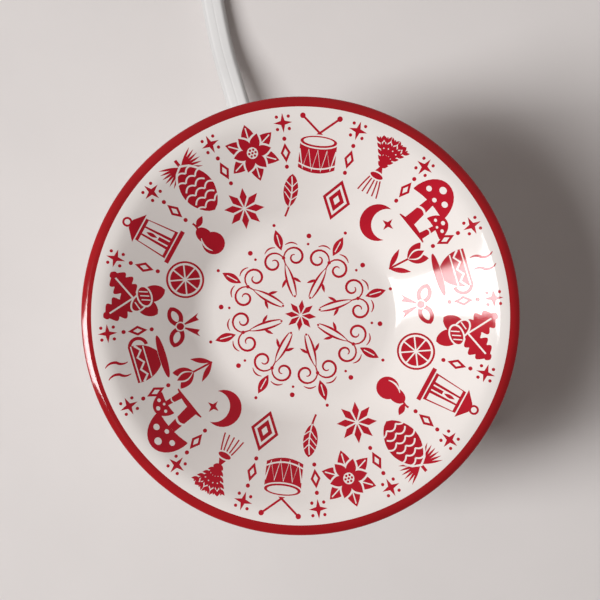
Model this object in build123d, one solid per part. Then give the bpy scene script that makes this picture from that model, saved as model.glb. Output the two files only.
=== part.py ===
from build123d import *
import os
from math import asin, atan2, cos, degrees, hypot, radians, sin, tan

# Wax melt warmer: a shallow glazed dish that lifts off a hot plate, on a waisted ceramic drum
# with a plastic base.
# Millimetres, +Z up. The origin is on the floor under the middle of the dish, and the lead leaves along +Y.

# Dish
DISH_R = 65.0
DISH_DEPTH = 17.0
DISH_WALL = 3.6
DISH_FLOOR = 4.0
DISH_FLOOR_R = 29.7
DISH_FLOOR_BEND = 14.0
DISH_RIM_W = 6.4
DISH_RIM_SLOPE = radians(4)
DISH_RIM_BEND = 10.3
DISH_LIP_W = 1.6
DISH_LIP_DROP = 0.75
DISH_LIP_CROWN = 3.3
DISH_LIP_EDGE = 0.8
DISH_LIP_UNDER = 1.4
DISH_FOOT_R = 36.0
DISH_FOOT_W = 5.0
DISH_FOOT_RECESS = 0.8
DISH_FOOT_EDGE = 0.6
DISH_FOOT_INNER_EDGE = 0.3
DISH_FOOT_ROOT = 1.2

# Hot plate, with a ridge round the foot of the dish
DISH_CLEARANCE = 0.8
RIDGE_W = 2.4
RIDGE_H = 1.2
PLATE_FLANGE = 3.4
PLATE_T = 2.2

# Ceramic drum
SHELL_H = 41.5
SHELL_R = 50.5
SHELL_WALL = 4.5
SHELL_RIM_WALL = 5.6
PLATE_SINK = 5.5
PLATE_CLEARANCE = 0.6
LEDGE_W = 4.2
LEDGE_T = 4.0
SHELL_EDGE = 1.2
GASKET_T = 1.0
GASKET_MARGIN = 0.4
SEAT_T = 1.0
SEAT_MARGIN = 0.3

# Base pan
FOOT_DROP = 2.0
BASE_H = 18.0
BASE_OVERHANG = 1.5
BASE_WALL = 2.4
BASE_FLOOR = 2.4
BASE_FLANGE_W = 8.0
BASE_FLANGE_T = 2.5
BASE_EDGE = 1.5
LIP_T = 2.0
LIP_H = 4.0
LIP_CLEARANCE = 0.5
VENT_COUNT = 8
VENT_W = 3.0
VENT_INNER_R = 9.0
VENT_LENGTH = 12.0

# Feet
FOOT_COUNT = 4
FOOT_CIRCLE_R = 42.0
FOOT_FIRST_ANGLE = 45.0
FOOT_R = 5.5
FOOT_SINK = 1.2
FOOT_EDGE = 0.6

# Tie stack: studs, standoffs and screws on one circle
STACK_COUNT = 3
STACK_R = 33.0
STACK_FIRST_ANGLE = 30.0
THREAD_R = 2.0
THREAD_CLEARANCE = 0.1
HOLE_CLEARANCE = 0.3
THREAD_LENGTH = 8.0
THREAD_END_GAP = 1.5
HEX_FLAT = 7.0
UPPER_STANDOFF = 15.0
SHIELD_T = 0.6
SHIELD_R = 39.5
SHIELD_GAP = 2.6
SHIELD_SKIRT = 3.0
SHIELD_HOLE_R = 2.4
BOSS_R = 5.5
BOSS_H = 4.0
HEAD_R = 3.6
HEAD_H = 2.2
HEAD_CLEARANCE = 0.4
SLOT_W = 0.6
SLOT_DEPTH = 1.0

# Heater stack under the plate
ELEMENT_R = 27.0
ELEMENT_BORE_R = 12.0
ELEMENT_T = 3.2
PAD_MARGIN = 1.5
PAD_T = 2.0
CLAMP_T = 1.2
CLAMP_R = 37.2
PIN_CIRCLE_R = 20.0
PIN_ANGLES = (-35.0, 90.0)
PIN_R = 1.5
PIN_LENGTH = 9.5
BUSHING_WALL = 1.8
BUSHING_GAP = 0.1
BUSHING_HANG = 2.0

# Thermostat, under the middle of the clamp plate
CAP_R = 8.4
CAP_GAP = 0.3
THERMOSTAT_R = 8.2
THERMOSTAT_H = 8.0
EAR_SPAN = 12.0
EAR_R = 4.0
EAR_T = 1.0
TAB_W = 6.3
TAB_T = 0.8
TAB_START = 2.5
TAB_END = 15.0

# Thermal fuse in its sleeve and clip
FUSE_Y = -21.0
FUSE_R = 2.0
FUSE_LENGTH = 10.0
FUSE_LEAD_R = 0.5
FUSE_LEAD_END = 13.0
SLEEVE_WALL = 0.6
SLEEVE_GAP = 0.1
SLEEVE_LENGTH = 18.0
CLIP_W = 6.0
CLIP_T = 0.8
CLIP_GAP = 0.15
CLIP_EAR = 6.4
SMALL_SCREW_R = 1.4
SMALL_HEAD_R = 2.5
SMALL_HEAD_H = 1.8

# Switch pod, turned from the front of the base towards +X
SWITCH_ANGLE = 40.0
POD_FACE_R = 62.0
POD_W = 28.0
POD_H = 15.8
POD_EDGE = 2.0
BEZEL_W = 21.0
BEZEL_H = 14.6
BEZEL_T = 2.0
BEZEL_EDGE = 0.8
SWITCH_W = 19.0
SWITCH_H = 12.6
SWITCH_DEPTH = 14.0
SWITCH_GAP = 0.2
ROCKER_R = 8.2
ROCKER_REACH = 9.2
ROCKER_H = 9.4
ROCKER_GAP = 0.3
ROCKER_TILT = 9.0
ROCKER_FRONT = 4.8
ROCKER_BACK = 2.0
ROCKER_PIVOT_DEPTH = 4.0
TRUNNION_R = 1.3
TRUNNION_LENGTH = 0.9
TRUNNION_CLEARANCE = 0.15
BLADE_SPACING = 9.0
BLADE_T = 0.8
BLADE_W = 4.8
BLADE_LENGTH = 8.0
SPADE_LENGTH = 9.0
SPADE_GRIP = 5.0
SPADE_WALL = 0.7
SPADE_GAP = 0.1

# Lead: two cores side by side with a groove between them
CORD_W = 7.6
CORD_T = 3.8
CORD_WEB = 2.8
WIRE_R = 1.0
WIRE_BEND = 3.0
WIRE_GAP = 0.3
WIRE_RUN = 15.0
WIRE_STUB = 10.0
WIRE_RISE = 9.0
SWITCHED_RISE_X = 24.0
NEUTRAL_RISE_X = 10.0

# Strain relief in the wall of the base, and the clamp inside
GLAND_WALL = 1.8
GLAND_FLANGE = 1.2
GLAND_FLANGE_T = 2.0
GLAND_TIP_WALL = 0.9
GLAND_GAP = 0.2
GLAND_TAIL = 15.0
GLAND_HOUSE = 5.5
GLAND_RIBS = 3
GLAND_RIB_W = 1.6
GLAND_RIB_DEPTH = 0.5
CORD_CLEARANCE = 0.1
SADDLE_Y = 40.0
SADDLE_L = 6.0
SADDLE_W = 26.0
SADDLE_GAP = 0.2
SADDLE_SCREW_X = 8.5
CLAMP_BAR_T = 2.6
CORD_INNER_END = 31.0

# Put-away coil of the lead, its tie and its plug
LEAD_STRAIGHT = 8.5
LEAD_POINTS = ((-0.8, 97.5, 2.0), (2.3, 129.0, 3.0))
RUN_SHARE = 0.45
LEAD_SWING = 60.0
LEAD_SWING_R = 34.0
COIL_FIRST_R = 52.0
COIL_PITCH = 8.2
COIL_LAYER = 4.6
COIL_HALF_TURNS_IN = 5
COIL_SKIP = 30.0
TAIL_LENGTH = 26.0
TIE_T = 0.6
TIE_W = 8.0
TIE_GAP = 1.1
TIE_CORNER = 1.8
PLUG_NECK = 18.0
PLUG_BODY = 26.0
PLUG_W = 24.0
PLUG_H = 14.8
PLUG_SHOULDER_W = 17.0
PLUG_SHOULDER_H = 11.6
PLUG_EDGE = 3.5
PLUG_END_EDGE = 1.2
PLUG_GROOVES = 3
PLUG_GROOVE_W = 1.2
PLUG_GROOVE_FIRST = 6.0
PLUG_GROOVE_STEP = 4.0
PLUG_GROOVE_DEPTH = 0.7
PLUG_BLADE_SPACING = 12.7
PLUG_BLADE_T = 1.5
PLUG_BLADE_WIDTHS = (6.4, 7.9)
PLUG_BLADE_LENGTH = 17.0
PLUG_BLADE_HOLE_R = 1.6
PLUG_BLADE_HOLE_FROM_TIP = 5.0
PLUG_BLADE_TIP = 0.5

# Heights, from the floor up
base_bottom = FOOT_DROP
floor_top = base_bottom + BASE_FLOOR
base_top = base_bottom + BASE_H
shell_bottom = base_top + SEAT_T
shell_top = shell_bottom + SHELL_H
ledge_top = shell_top - PLATE_SINK
plate_bottom = ledge_top + GASKET_T
plate_top = plate_bottom + PLATE_T
element_bottom = plate_bottom - ELEMENT_T
pad_bottom = element_bottom - PAD_T
clamp_bottom = pad_bottom - CLAMP_T
shield_top = clamp_bottom - UPPER_STANDOFF
shield_bottom = shield_top - SHIELD_T
boss_top = floor_top + BOSS_H
thermostat_bottom = clamp_bottom - EAR_T - THERMOSTAT_H
tab_mid = thermostat_bottom - TAB_T / 2
pin_bottom = element_bottom - PIN_LENGTH
switch_z = base_bottom + BASE_H / 2
gland_half = CORD_T / 2 + GLAND_WALL + GLAND_FLANGE
gland_z = floor_top + gland_half + GLAND_GAP

# Radii that follow from what fits inside what
recess_r = DISH_FOOT_R + DISH_CLEARANCE
ridge_r = recess_r + RIDGE_W
plate_r = ridge_r + PLATE_FLANGE
shell_recess_r = plate_r + PLATE_CLEARANCE
ledge_r = plate_r - LEDGE_W
shell_rim_r = shell_recess_r + SHELL_RIM_WALL
shell_bore_r = SHELL_R - SHELL_WALL
waist_r = SHIELD_R + SHIELD_GAP + SHELL_WALL
base_r = SHELL_R + BASE_OVERHANG
lip_r = shell_bore_r - LIP_CLEARANCE
bushing_r = PIN_R + BUSHING_GAP + BUSHING_WALL
sleeve_r = FUSE_R + SLEEVE_GAP + SLEEVE_WALL
fuse_z = clamp_bottom - sleeve_r - CLIP_GAP
clip_screw_y = FUSE_Y + sleeve_r + CLIP_GAP + CLIP_T + CLIP_EAR / 2

# Places along the switch, in the pod's own frame, which looks along -Y before it is turned
bezel_front = -(POD_FACE_R + BEZEL_T)
rocker_pivot = bezel_front + ROCKER_PIVOT_DEPTH
switch_back = -POD_FACE_R + SWITCH_DEPTH
blade_end = switch_back + BLADE_LENGTH
spade_start = blade_end - SPADE_GRIP
spade_end = spade_start + SPADE_LENGTH

# Places along the strain relief, and of the wires
gland_outer = base_r + GLAND_FLANGE_T / 2
gland_inner = gland_outer - GLAND_HOUSE
gland_tip = gland_outer + GLAND_FLANGE_T + GLAND_TAIL
core_x = (CORD_W - CORD_T) / 2
wire_end_z = pin_bottom + WIRE_R
switched_rise = (SWITCHED_RISE_X, 0.0)
neutral_rise = (NEUTRAL_RISE_X, PIN_CIRCLE_R)

UP = (Align.CENTER, Align.CENTER, Align.MIN)
DOWN = (Align.CENTER, Align.CENTER, Align.MAX)


def disc(radius, bottom, top):
    return Pos(0, 0, bottom) * Cylinder(radius, top - bottom, align=UP)


def ring(outer, inner, bottom, top):
    return disc(outer, bottom, top) - disc(inner, bottom, top)


def block(width, depth, bottom, top):
    return Pos(0, 0, bottom) * Box(width, depth, top - bottom, align=UP)


def around(count, radius, first_angle=0.0):
    """Places spaced evenly on a circle about the axis."""
    return [Rot(0, 0, first_angle + 360 * i / count) * Pos(radius, 0, 0) for i in range(count)]


def turned(*edges):
    """A solid of revolution from an outline whose points are (radius, height)."""
    return revolve(Plane.XZ * make_face(edges), Axis.Z)


def stack_places():
    return around(STACK_COUNT, STACK_R, STACK_FIRST_ANGLE)


def foot_places():
    return around(FOOT_COUNT, FOOT_CIRCLE_R, FOOT_FIRST_ANGLE)


def pin_places():
    return [Rot(0, 0, angle) * Pos(PIN_CIRCLE_R, 0, 0) for angle in PIN_ANGLES]


def small_screw_places():
    return [Pos(-EAR_SPAN, 0, 0), Pos(EAR_SPAN, 0, 0), Pos(0, clip_screw_y, 0)]


def holes(places, radius, bottom, top):
    return [place * disc(radius, bottom, top) for place in places]


def rounded_line(first, corners, last):
    """A line through corners, each with its radius, or less where half of a run leaves no room for it."""
    points = [Vector(*p) for p in (first, *(place for place, _ in corners), last)]
    radii = []
    for (_, wanted), before, here, after in zip(corners, points, points[1:], points[2:]):
        turn = radians((here - before).get_angle(after - here))
        shorter = min((here - before).length, (after - here).length)
        radii.append(min(wanted, shorter / 2 / tan(turn / 2)))
    return FilletPolyline(*points, radius=radii)


def wax_dish():
    """A cone on a flat floor that turns over into a near-level rim with a crowned lip, on a foot ring."""
    foot = plate_top
    underside = foot + DISH_FOOT_RECESS
    floor = underside + DISH_FLOOR
    top = floor + DISH_DEPTH
    foot_inner_r = DISH_FOOT_R - DISH_FOOT_W
    crest_r = DISH_R - DISH_LIP_W
    wall_top_r = DISH_R - DISH_RIM_W
    wall_top = top - (crest_r - wall_top_r) * tan(DISH_RIM_SLOPE)
    slope = atan2(wall_top - floor, wall_top_r - DISH_FLOOR_R)

    def outside(radius):
        return floor + (radius - DISH_FLOOR_R) * tan(slope) - DISH_WALL / cos(slope)

    def rim_under(radius):
        return wall_top + (radius - wall_top_r) * tan(DISH_RIM_SLOPE) - DISH_WALL / cos(DISH_RIM_SLOPE)

    drop = rim_under(wall_top_r) - outside(wall_top_r)
    knee_r = wall_top_r + drop / (tan(slope) - tan(DISH_RIM_SLOPE))
    corners = (
        ((foot_inner_r, underside), DISH_FOOT_INNER_EDGE),
        ((foot_inner_r, foot), DISH_FOOT_INNER_EDGE),
        ((DISH_FOOT_R, foot), DISH_FOOT_EDGE),
        ((DISH_FOOT_R, outside(DISH_FOOT_R)), DISH_FOOT_ROOT),
        ((knee_r, outside(knee_r)), DISH_RIM_BEND - DISH_WALL),
        ((DISH_R, rim_under(DISH_R)), DISH_LIP_UNDER),
        ((DISH_R, top - DISH_LIP_DROP), DISH_LIP_EDGE),
        ((crest_r, top), DISH_LIP_CROWN),
        ((wall_top_r, wall_top), DISH_RIM_BEND),
        ((DISH_FLOOR_R, floor), DISH_FLOOR_BEND),
    )
    section = rounded_line((0, underside), corners, (0, floor))
    return turned(section, Line((0, floor), (0, underside)))


def body_shell():
    """Waisted drum with a ledge for the hot plate and rounded outer edges."""
    waist = (waist_r, (shell_bottom + shell_top) / 2)
    low, high = (SHELL_R, shell_bottom), (shell_rim_r, shell_top)
    ledge_bottom = ledge_top - LEDGE_T
    outer = turned(
        ThreePointArc(low, waist, high),
        Polyline(high, (0, shell_top), (0, shell_bottom), low),
    )
    inner_waist = (waist[0] - SHELL_WALL, waist[1])
    inner_high = (shell_rim_r - SHELL_WALL, shell_top)
    inner = turned(
        ThreePointArc((shell_bore_r, shell_bottom), inner_waist, inner_high),
        Polyline(inner_high, (0, shell_top), (0, shell_bottom), (shell_bore_r, shell_bottom)),
    )
    shell = outer - (inner & disc(DISH_R, shell_bottom, ledge_bottom))
    shell -= disc(shell_bore_r, shell_bottom, base_top + LIP_H + LIP_CLEARANCE)
    shell -= disc(ledge_r, ledge_bottom, ledge_top)
    shell -= disc(shell_recess_r, ledge_top, shell_top)
    rim = shell.edges().filter_by(GeomType.CIRCLE).filter_by_position(Axis.Z, shell_top, shell_top)
    return fillet(rim, SHELL_EDGE)


def hot_plate():
    plate = disc(plate_r, plate_bottom, plate_top)
    return plate + ring(ridge_r, recess_r, plate_top, plate_top + RIDGE_H)


def plate_gasket():
    return ring(plate_r - GASKET_MARGIN, ledge_r + GASKET_MARGIN, ledge_top, plate_bottom)


def seat_ring():
    return ring(SHELL_R - SEAT_MARGIN, shell_bore_r + SEAT_MARGIN, base_top, shell_bottom)


def heating_element():
    return ring(ELEMENT_R, ELEMENT_BORE_R, element_bottom, plate_bottom)


def insulator_pad():
    pad = ring(ELEMENT_R + PAD_MARGIN, ELEMENT_BORE_R - PAD_MARGIN, pad_bottom, element_bottom)
    return pad - holes(pin_places(), bushing_r + BUSHING_GAP, pad_bottom, element_bottom)


def clamp_plate():
    plate = ring(CLAMP_R, CAP_R + HOLE_CLEARANCE, clamp_bottom, pad_bottom)
    plate -= holes(stack_places(), THREAD_R + HOLE_CLEARANCE, clamp_bottom, pad_bottom)
    plate -= holes(pin_places(), bushing_r + BUSHING_GAP, clamp_bottom, pad_bottom)
    return plate - holes(small_screw_places(), SMALL_SCREW_R + THREAD_CLEARANCE, clamp_bottom, pad_bottom)


def plate_studs():
    return holes(stack_places(), THREAD_R, clamp_bottom - THREAD_LENGTH, plate_bottom)


def hex_bar(bottom, top):
    return Pos(0, 0, bottom) * extrude(RegularPolygon(HEX_FLAT / 2, 6, major_radius=False), top - bottom)


def threaded_hole(bottom, top):
    return disc(THREAD_R + THREAD_CLEARANCE, bottom, top)


def upper_standoffs():
    """Female at the top, on the studs, and male at the bottom, through the heat shield."""
    bar = hex_bar(shield_top, clamp_bottom)
    bar -= threaded_hole(clamp_bottom - THREAD_LENGTH - THREAD_END_GAP, clamp_bottom)
    bar += disc(THREAD_R, shield_bottom - THREAD_LENGTH, shield_top)
    return [place * bar for place in stack_places()]


def lower_standoffs():
    bar = hex_bar(boss_top, shield_bottom)
    depth = THREAD_LENGTH + THREAD_END_GAP
    bar -= threaded_hole(shield_bottom - depth, shield_bottom)
    bar -= threaded_hole(boss_top, boss_top + depth)
    return [place * bar for place in stack_places()]


def heat_shield():
    """Thin disc with a turned-down skirt, drilled for the standoffs and for two wires."""
    shield = disc(SHIELD_R, shield_bottom, shield_top)
    shield += ring(SHIELD_R, SHIELD_R - SHIELD_T, shield_bottom - SHIELD_SKIRT, shield_bottom)
    shield -= holes(stack_places(), THREAD_R + HOLE_CLEARANCE, shield_bottom, shield_top)
    wire_places = [Pos(x, y, 0) for x, y in (switched_rise, neutral_rise)]
    return shield - holes(wire_places, SHIELD_HOLE_R, shield_bottom, shield_top)


def screw(head_r, head_h, thread_r, head_bottom, thread_top):
    """Round-headed screw pointing up, with a cross of two slots in its head."""
    body = disc(head_r, head_bottom, head_bottom + head_h)
    body += disc(thread_r, head_bottom + head_h, thread_top)
    for turn in (0, 90):
        body -= Rot(0, 0, turn) * block(head_r, SLOT_W, head_bottom, head_bottom + SLOT_DEPTH)
    return body


def boss_seat():
    """Height of the face that the heads of the base screws bear on."""
    return base_bottom + HEAD_H + HEAD_CLEARANCE


def base_screws():
    head_bottom = boss_seat() - HEAD_H
    body = screw(HEAD_R, HEAD_H, THREAD_R, head_bottom, boss_top + THREAD_LENGTH)
    return [place * body for place in stack_places()]


def gland_section(wall):
    return SlotOverall(CORD_W + 2 * wall, CORD_T + 2 * wall)


def along_y(sketch, start, end):
    """Extrudes a sketch drawn as (x, height above the lead) from one y to another."""
    plane = Plane(origin=(0, start, gland_z), x_dir=(1, 0, 0), z_dir=(0, 1, 0))
    return extrude(plane * sketch, end - start)


def rubber_feet():
    foot = disc(FOOT_R, 0, base_bottom + FOOT_SINK)
    foot = chamfer(foot.edges().group_by(Axis.Z)[0], FOOT_EDGE)
    return [place * foot for place in foot_places()]


def base_pan():
    """Open tray with a flange and lip for the drum, screw bosses, a lead clamp, vents and the switch pod."""
    pan = disc(base_r, base_bottom, base_top)
    pan = fillet(pan.edges().filter_by(GeomType.CIRCLE), BASE_EDGE)
    pan -= disc(base_r - BASE_WALL, floor_top, base_top - BASE_FLANGE_T)
    pan -= disc(base_r - BASE_FLANGE_W, base_top - BASE_FLANGE_T, base_top)
    pan += ring(lip_r, lip_r - LIP_T, base_top - BASE_FLANGE_T, base_top + LIP_H)
    pan += holes(stack_places(), BOSS_R, base_bottom, boss_top)
    pan -= holes(stack_places(), THREAD_R + HOLE_CLEARANCE, base_bottom, boss_top)
    pan -= holes(stack_places(), HEAD_R + HEAD_CLEARANCE, base_bottom, boss_seat())
    pan -= holes(foot_places(), FOOT_R, base_bottom, base_bottom + FOOT_SINK)
    vent = Pos(VENT_INNER_R + VENT_LENGTH / 2, 0, base_bottom) * extrude(
        SlotOverall(VENT_LENGTH, VENT_W), BASE_FLOOR
    )
    pan -= [Rot(0, 0, 360 * i / VENT_COUNT) * vent for i in range(VENT_COUNT)]
    return switch_pod(lead_fittings(pan))


def lead_fittings(pan):
    """Adds the thickened wall with its opening for the strain relief, and the saddle of the clamp."""
    house_w = CORD_W + 2 * (GLAND_WALL + GLAND_FLANGE + BASE_WALL)
    house = block(house_w, GLAND_HOUSE, floor_top, gland_z + gland_half)
    pan += Pos(0, (gland_inner + gland_outer) / 2, 0) * house
    pan -= along_y(gland_section(GLAND_WALL + GLAND_GAP), gland_inner, gland_outer)
    saddle_top = gland_z + CORD_T / 2
    saddle = Pos(0, SADDLE_Y, 0) * block(SADDLE_W, SADDLE_L, floor_top, saddle_top)
    channel = Pos(0, SADDLE_Y, 0) * block(
        CORD_W + 2 * SADDLE_GAP, SADDLE_L, gland_z - CORD_T / 2 - SADDLE_GAP / 2, saddle_top
    )
    pan += saddle - channel
    screw_places = [Pos(side * SADDLE_SCREW_X, SADDLE_Y, 0) for side in (-1, 1)]
    return pan - holes(screw_places, SMALL_SCREW_R + THREAD_CLEARANCE, floor_top, saddle_top)


def switch_pod(pan):
    """Adds the pod that carries the switch outside the drum, with the switch's tunnel into the tray."""
    inner = base_r - BASE_WALL
    pod = Pos(0, -(inner + POD_FACE_R) / 2, switch_z) * Box(POD_W, POD_FACE_R - inner, POD_H)
    front = pod.faces().sort_by(Axis.Y)[0]
    pod = fillet(front.edges().filter_by(Axis.Z), POD_EDGE)
    depth = POD_FACE_R - (inner - BASE_FLANGE_W)
    tunnel = Pos(0, -(POD_FACE_R - depth / 2), switch_z) * Box(
        SWITCH_W + 2 * SWITCH_GAP, depth, SWITCH_H + 2 * SWITCH_GAP
    )
    turn = Rot(0, 0, SWITCH_ANGLE)
    return pan + turn * pod - turn * tunnel


def thermostat():
    """Cap through the clamp plate, a flange with two ears, and the moulded body below."""
    body = disc(CAP_R, clamp_bottom, plate_bottom - CAP_GAP)
    flange = SlotCenterToCenter(2 * EAR_SPAN, 2 * EAR_R) + Circle(CAP_R)
    body += Pos(0, 0, clamp_bottom - EAR_T) * extrude(flange, EAR_T)
    body += disc(THERMOSTAT_R, thermostat_bottom, clamp_bottom - EAR_T)
    ears = [Pos(side * EAR_SPAN, 0, 0) for side in (-1, 1)]
    return body - holes(ears, SMALL_SCREW_R + THREAD_CLEARANCE, clamp_bottom - EAR_T, clamp_bottom)


def thermostat_tabs():
    length = TAB_END - TAB_START
    tab = Pos(TAB_START + length / 2, 0, thermostat_bottom - TAB_T) * Box(length, TAB_W, TAB_T, align=UP)
    return [Rot(0, 0, turn) * tab for turn in (0, 180)]


def bracket_screws():
    """Screws for the two ears of the thermostat and for the fuse clip, which are equally thick."""
    under_ear = clamp_bottom - EAR_T
    body = screw(SMALL_HEAD_R, SMALL_HEAD_H, SMALL_SCREW_R, under_ear - SMALL_HEAD_H, pad_bottom)
    return [place * body for place in small_screw_places()]


def along_x(radius, start, end):
    """A round bar along the axis of the fuse."""
    plane = Plane(origin=(start, FUSE_Y, fuse_z), x_dir=(0, 1, 0), z_dir=(1, 0, 0))
    return extrude(plane * Circle(radius), end - start)


def thermal_fuse():
    fuse = along_x(FUSE_R, -FUSE_LENGTH / 2, FUSE_LENGTH / 2)
    return fuse + along_x(FUSE_LEAD_R, -FUSE_LEAD_END, FUSE_LEAD_END)


def fuse_sleeve():
    half = SLEEVE_LENGTH / 2
    return along_x(sleeve_r, -half, half) - along_x(FUSE_R + SLEEVE_GAP, -half, half)


def fuse_clip():
    """Strap under the sleeve, with one ear screwed to the clamp plate."""
    inner = sleeve_r + CLIP_GAP
    outer = inner + CLIP_T
    half = CLIP_W / 2
    rise = clamp_bottom - fuse_z

    def channel(radius):
        side = Pos(0, FUSE_Y, fuse_z) * Box(CLIP_W, 2 * radius, rise, align=UP)
        return along_x(radius, -half, half) + side

    strap = channel(outer) - channel(inner)
    strap -= Pos(0, FUSE_Y, clamp_bottom) * Box(CLIP_W, 2 * outer, outer, align=UP)
    ear = Pos(0, FUSE_Y + outer + CLIP_EAR / 2 - CLIP_T / 2, clamp_bottom) * Box(
        CLIP_W, CLIP_EAR + CLIP_T, EAR_T, align=DOWN
    )
    strap += ear
    return strap - Pos(0, clip_screw_y, 0) * disc(
        SMALL_SCREW_R + THREAD_CLEARANCE, clamp_bottom - EAR_T, clamp_bottom
    )


def element_pins():
    return holes(pin_places(), PIN_R, pin_bottom, element_bottom)


def pin_bushings():
    bottom = clamp_bottom - BUSHING_HANG
    return [place * ring(bushing_r, PIN_R + BUSHING_GAP, bottom, element_bottom) for place in pin_places()]


def at_switch(x, y, z):
    """A place given in the pod's own frame."""
    return (Rot(0, 0, SWITCH_ANGLE) * Pos(x, y, z)).position


def switch_body():
    """Moulded housing with a bezel and a cavity in which the rocker turns on two trunnions."""
    frame = Box(BEZEL_W, BEZEL_T, BEZEL_H, align=(Align.CENTER, Align.MIN, Align.CENTER))
    frame = Pos(0, bezel_front, switch_z) * frame
    frame = chamfer(frame.faces().sort_by(Axis.Y)[0].edges(), BEZEL_EDGE)
    housing = Box(SWITCH_W, SWITCH_DEPTH, SWITCH_H, align=(Align.CENTER, Align.MIN, Align.CENTER))
    frame += Pos(0, -POD_FACE_R, switch_z) * housing
    swing = hypot(ROCKER_R, ROCKER_BACK)
    depth = ROCKER_PIVOT_DEPTH + ROCKER_BACK + swing * sin(radians(ROCKER_TILT)) + 2 * ROCKER_GAP
    cavity = Box(
        2 * (ROCKER_R + ROCKER_GAP),
        depth,
        ROCKER_H + 2 * ROCKER_GAP,
        align=(Align.CENTER, Align.MIN, Align.CENTER),
    )
    frame -= Pos(0, bezel_front, switch_z) * cavity
    bore_h = ROCKER_H + 2 * (TRUNNION_LENGTH + ROCKER_GAP)
    frame -= Pos(0, rocker_pivot, switch_z) * Cylinder(TRUNNION_R + TRUNNION_CLEARANCE, bore_h)
    return Rot(0, 0, SWITCH_ANGLE) * frame


def switch_rocker():
    """Ends turned about the pivot, a front of two slopes, and one trunnion at each side. Modelled at off."""
    drop = ROCKER_REACH * tan(radians(ROCKER_TILT))
    outline = Polygon(
        (0, -ROCKER_FRONT),
        (ROCKER_REACH, drop - ROCKER_FRONT),
        (ROCKER_REACH, ROCKER_BACK),
        (-ROCKER_REACH, ROCKER_BACK),
        (-ROCKER_REACH, drop - ROCKER_FRONT),
        align=None,
    )
    rocker = Pos(0, 0, -ROCKER_H / 2) * extrude(outline & Circle(ROCKER_R), ROCKER_H)
    rocker += Cylinder(TRUNNION_R, ROCKER_H + 2 * TRUNNION_LENGTH)
    rocker = Pos(0, rocker_pivot, switch_z) * Rot(0, 0, -ROCKER_TILT) * rocker
    return Rot(0, 0, SWITCH_ANGLE) * rocker


def blade_sides():
    return [side * BLADE_SPACING / 2 for side in (-1, 1)]


def switch_terminals():
    turn = Rot(0, 0, SWITCH_ANGLE)
    mid = (switch_back + blade_end) / 2
    return [turn * Pos(x, mid, switch_z) * Box(BLADE_T, BLADE_LENGTH, BLADE_W) for x in blade_sides()]


def spade_connectors():
    """Sleeves pushed on the blades of the switch, each with its wire behind it."""
    turn = Rot(0, 0, SWITCH_ANGLE)
    wide, high = BLADE_T + 2 * (SPADE_GAP + SPADE_WALL), BLADE_W + 2 * (SPADE_GAP + SPADE_WALL)
    sleeve = Pos(0, (spade_start + spade_end) / 2, switch_z) * Box(wide, SPADE_LENGTH, high)
    grip_end = blade_end + SPADE_GAP
    sleeve -= Pos(0, (spade_start + grip_end) / 2, switch_z) * Box(
        BLADE_T + 2 * SPADE_GAP, grip_end - spade_start, BLADE_W + 2 * SPADE_GAP
    )
    return [turn * Pos(x, 0, 0) * sleeve for x in blade_sides()]


def wire(*points):
    """An insulated wire: straight runs joined by small arcs."""
    path = FilletPolyline(*points, radius=WIRE_BEND)
    start = Plane(origin=path @ 0, z_dir=path % 0)
    return sweep(start * Circle(WIRE_R), path=path)


def live_wire():
    """From one core of the lead to the switch."""
    x = -BLADE_SPACING / 2
    return wire(
        (-core_x, CORD_INNER_END, gland_z),
        (-core_x, CORD_INNER_END - WIRE_RUN, gland_z),
        at_switch(x, spade_end + WIRE_RUN, switch_z),
        at_switch(x, spade_end, switch_z),
    )


def switched_wire():
    """From the switch up through the heat shield to the thermostat."""
    x = BLADE_SPACING / 2
    return wire(
        at_switch(x, spade_end, switch_z),
        at_switch(x, spade_end + WIRE_RUN, switch_z),
        (*switched_rise, switch_z + WIRE_RISE),
        (*switched_rise, tab_mid),
        (TAB_END, 0, tab_mid),
    )


def fuse_wire():
    """From the thermostat to the thermal fuse."""
    return wire(
        (-FUSE_LEAD_END, FUSE_Y, fuse_z),
        (-FUSE_LEAD_END - WIRE_STUB, FUSE_Y, fuse_z),
        (-TAB_END - WIRE_STUB, 0, tab_mid),
        (-TAB_END, 0, tab_mid),
    )


def element_wire():
    """From the thermal fuse to the first pin of the heater."""
    pin = pin_places()[0].position
    turn_x = pin.X + WIRE_STUB
    return wire(
        (FUSE_LEAD_END, FUSE_Y, fuse_z),
        (turn_x, FUSE_Y, fuse_z),
        (turn_x, pin.Y, wire_end_z),
        (pin.X + PIN_R + WIRE_GAP, pin.Y, wire_end_z),
    )


def neutral_wire():
    """From the other core of the lead up through the heat shield to the second pin of the heater."""
    return wire(
        (core_x, CORD_INNER_END, gland_z),
        (core_x, CORD_INNER_END - WIRE_STUB / 2, gland_z),
        (*neutral_rise, gland_z + WIRE_RISE),
        (*neutral_rise, wire_end_z),
        (PIN_R + WIRE_GAP, PIN_CIRCLE_R, wire_end_z),
    )


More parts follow.
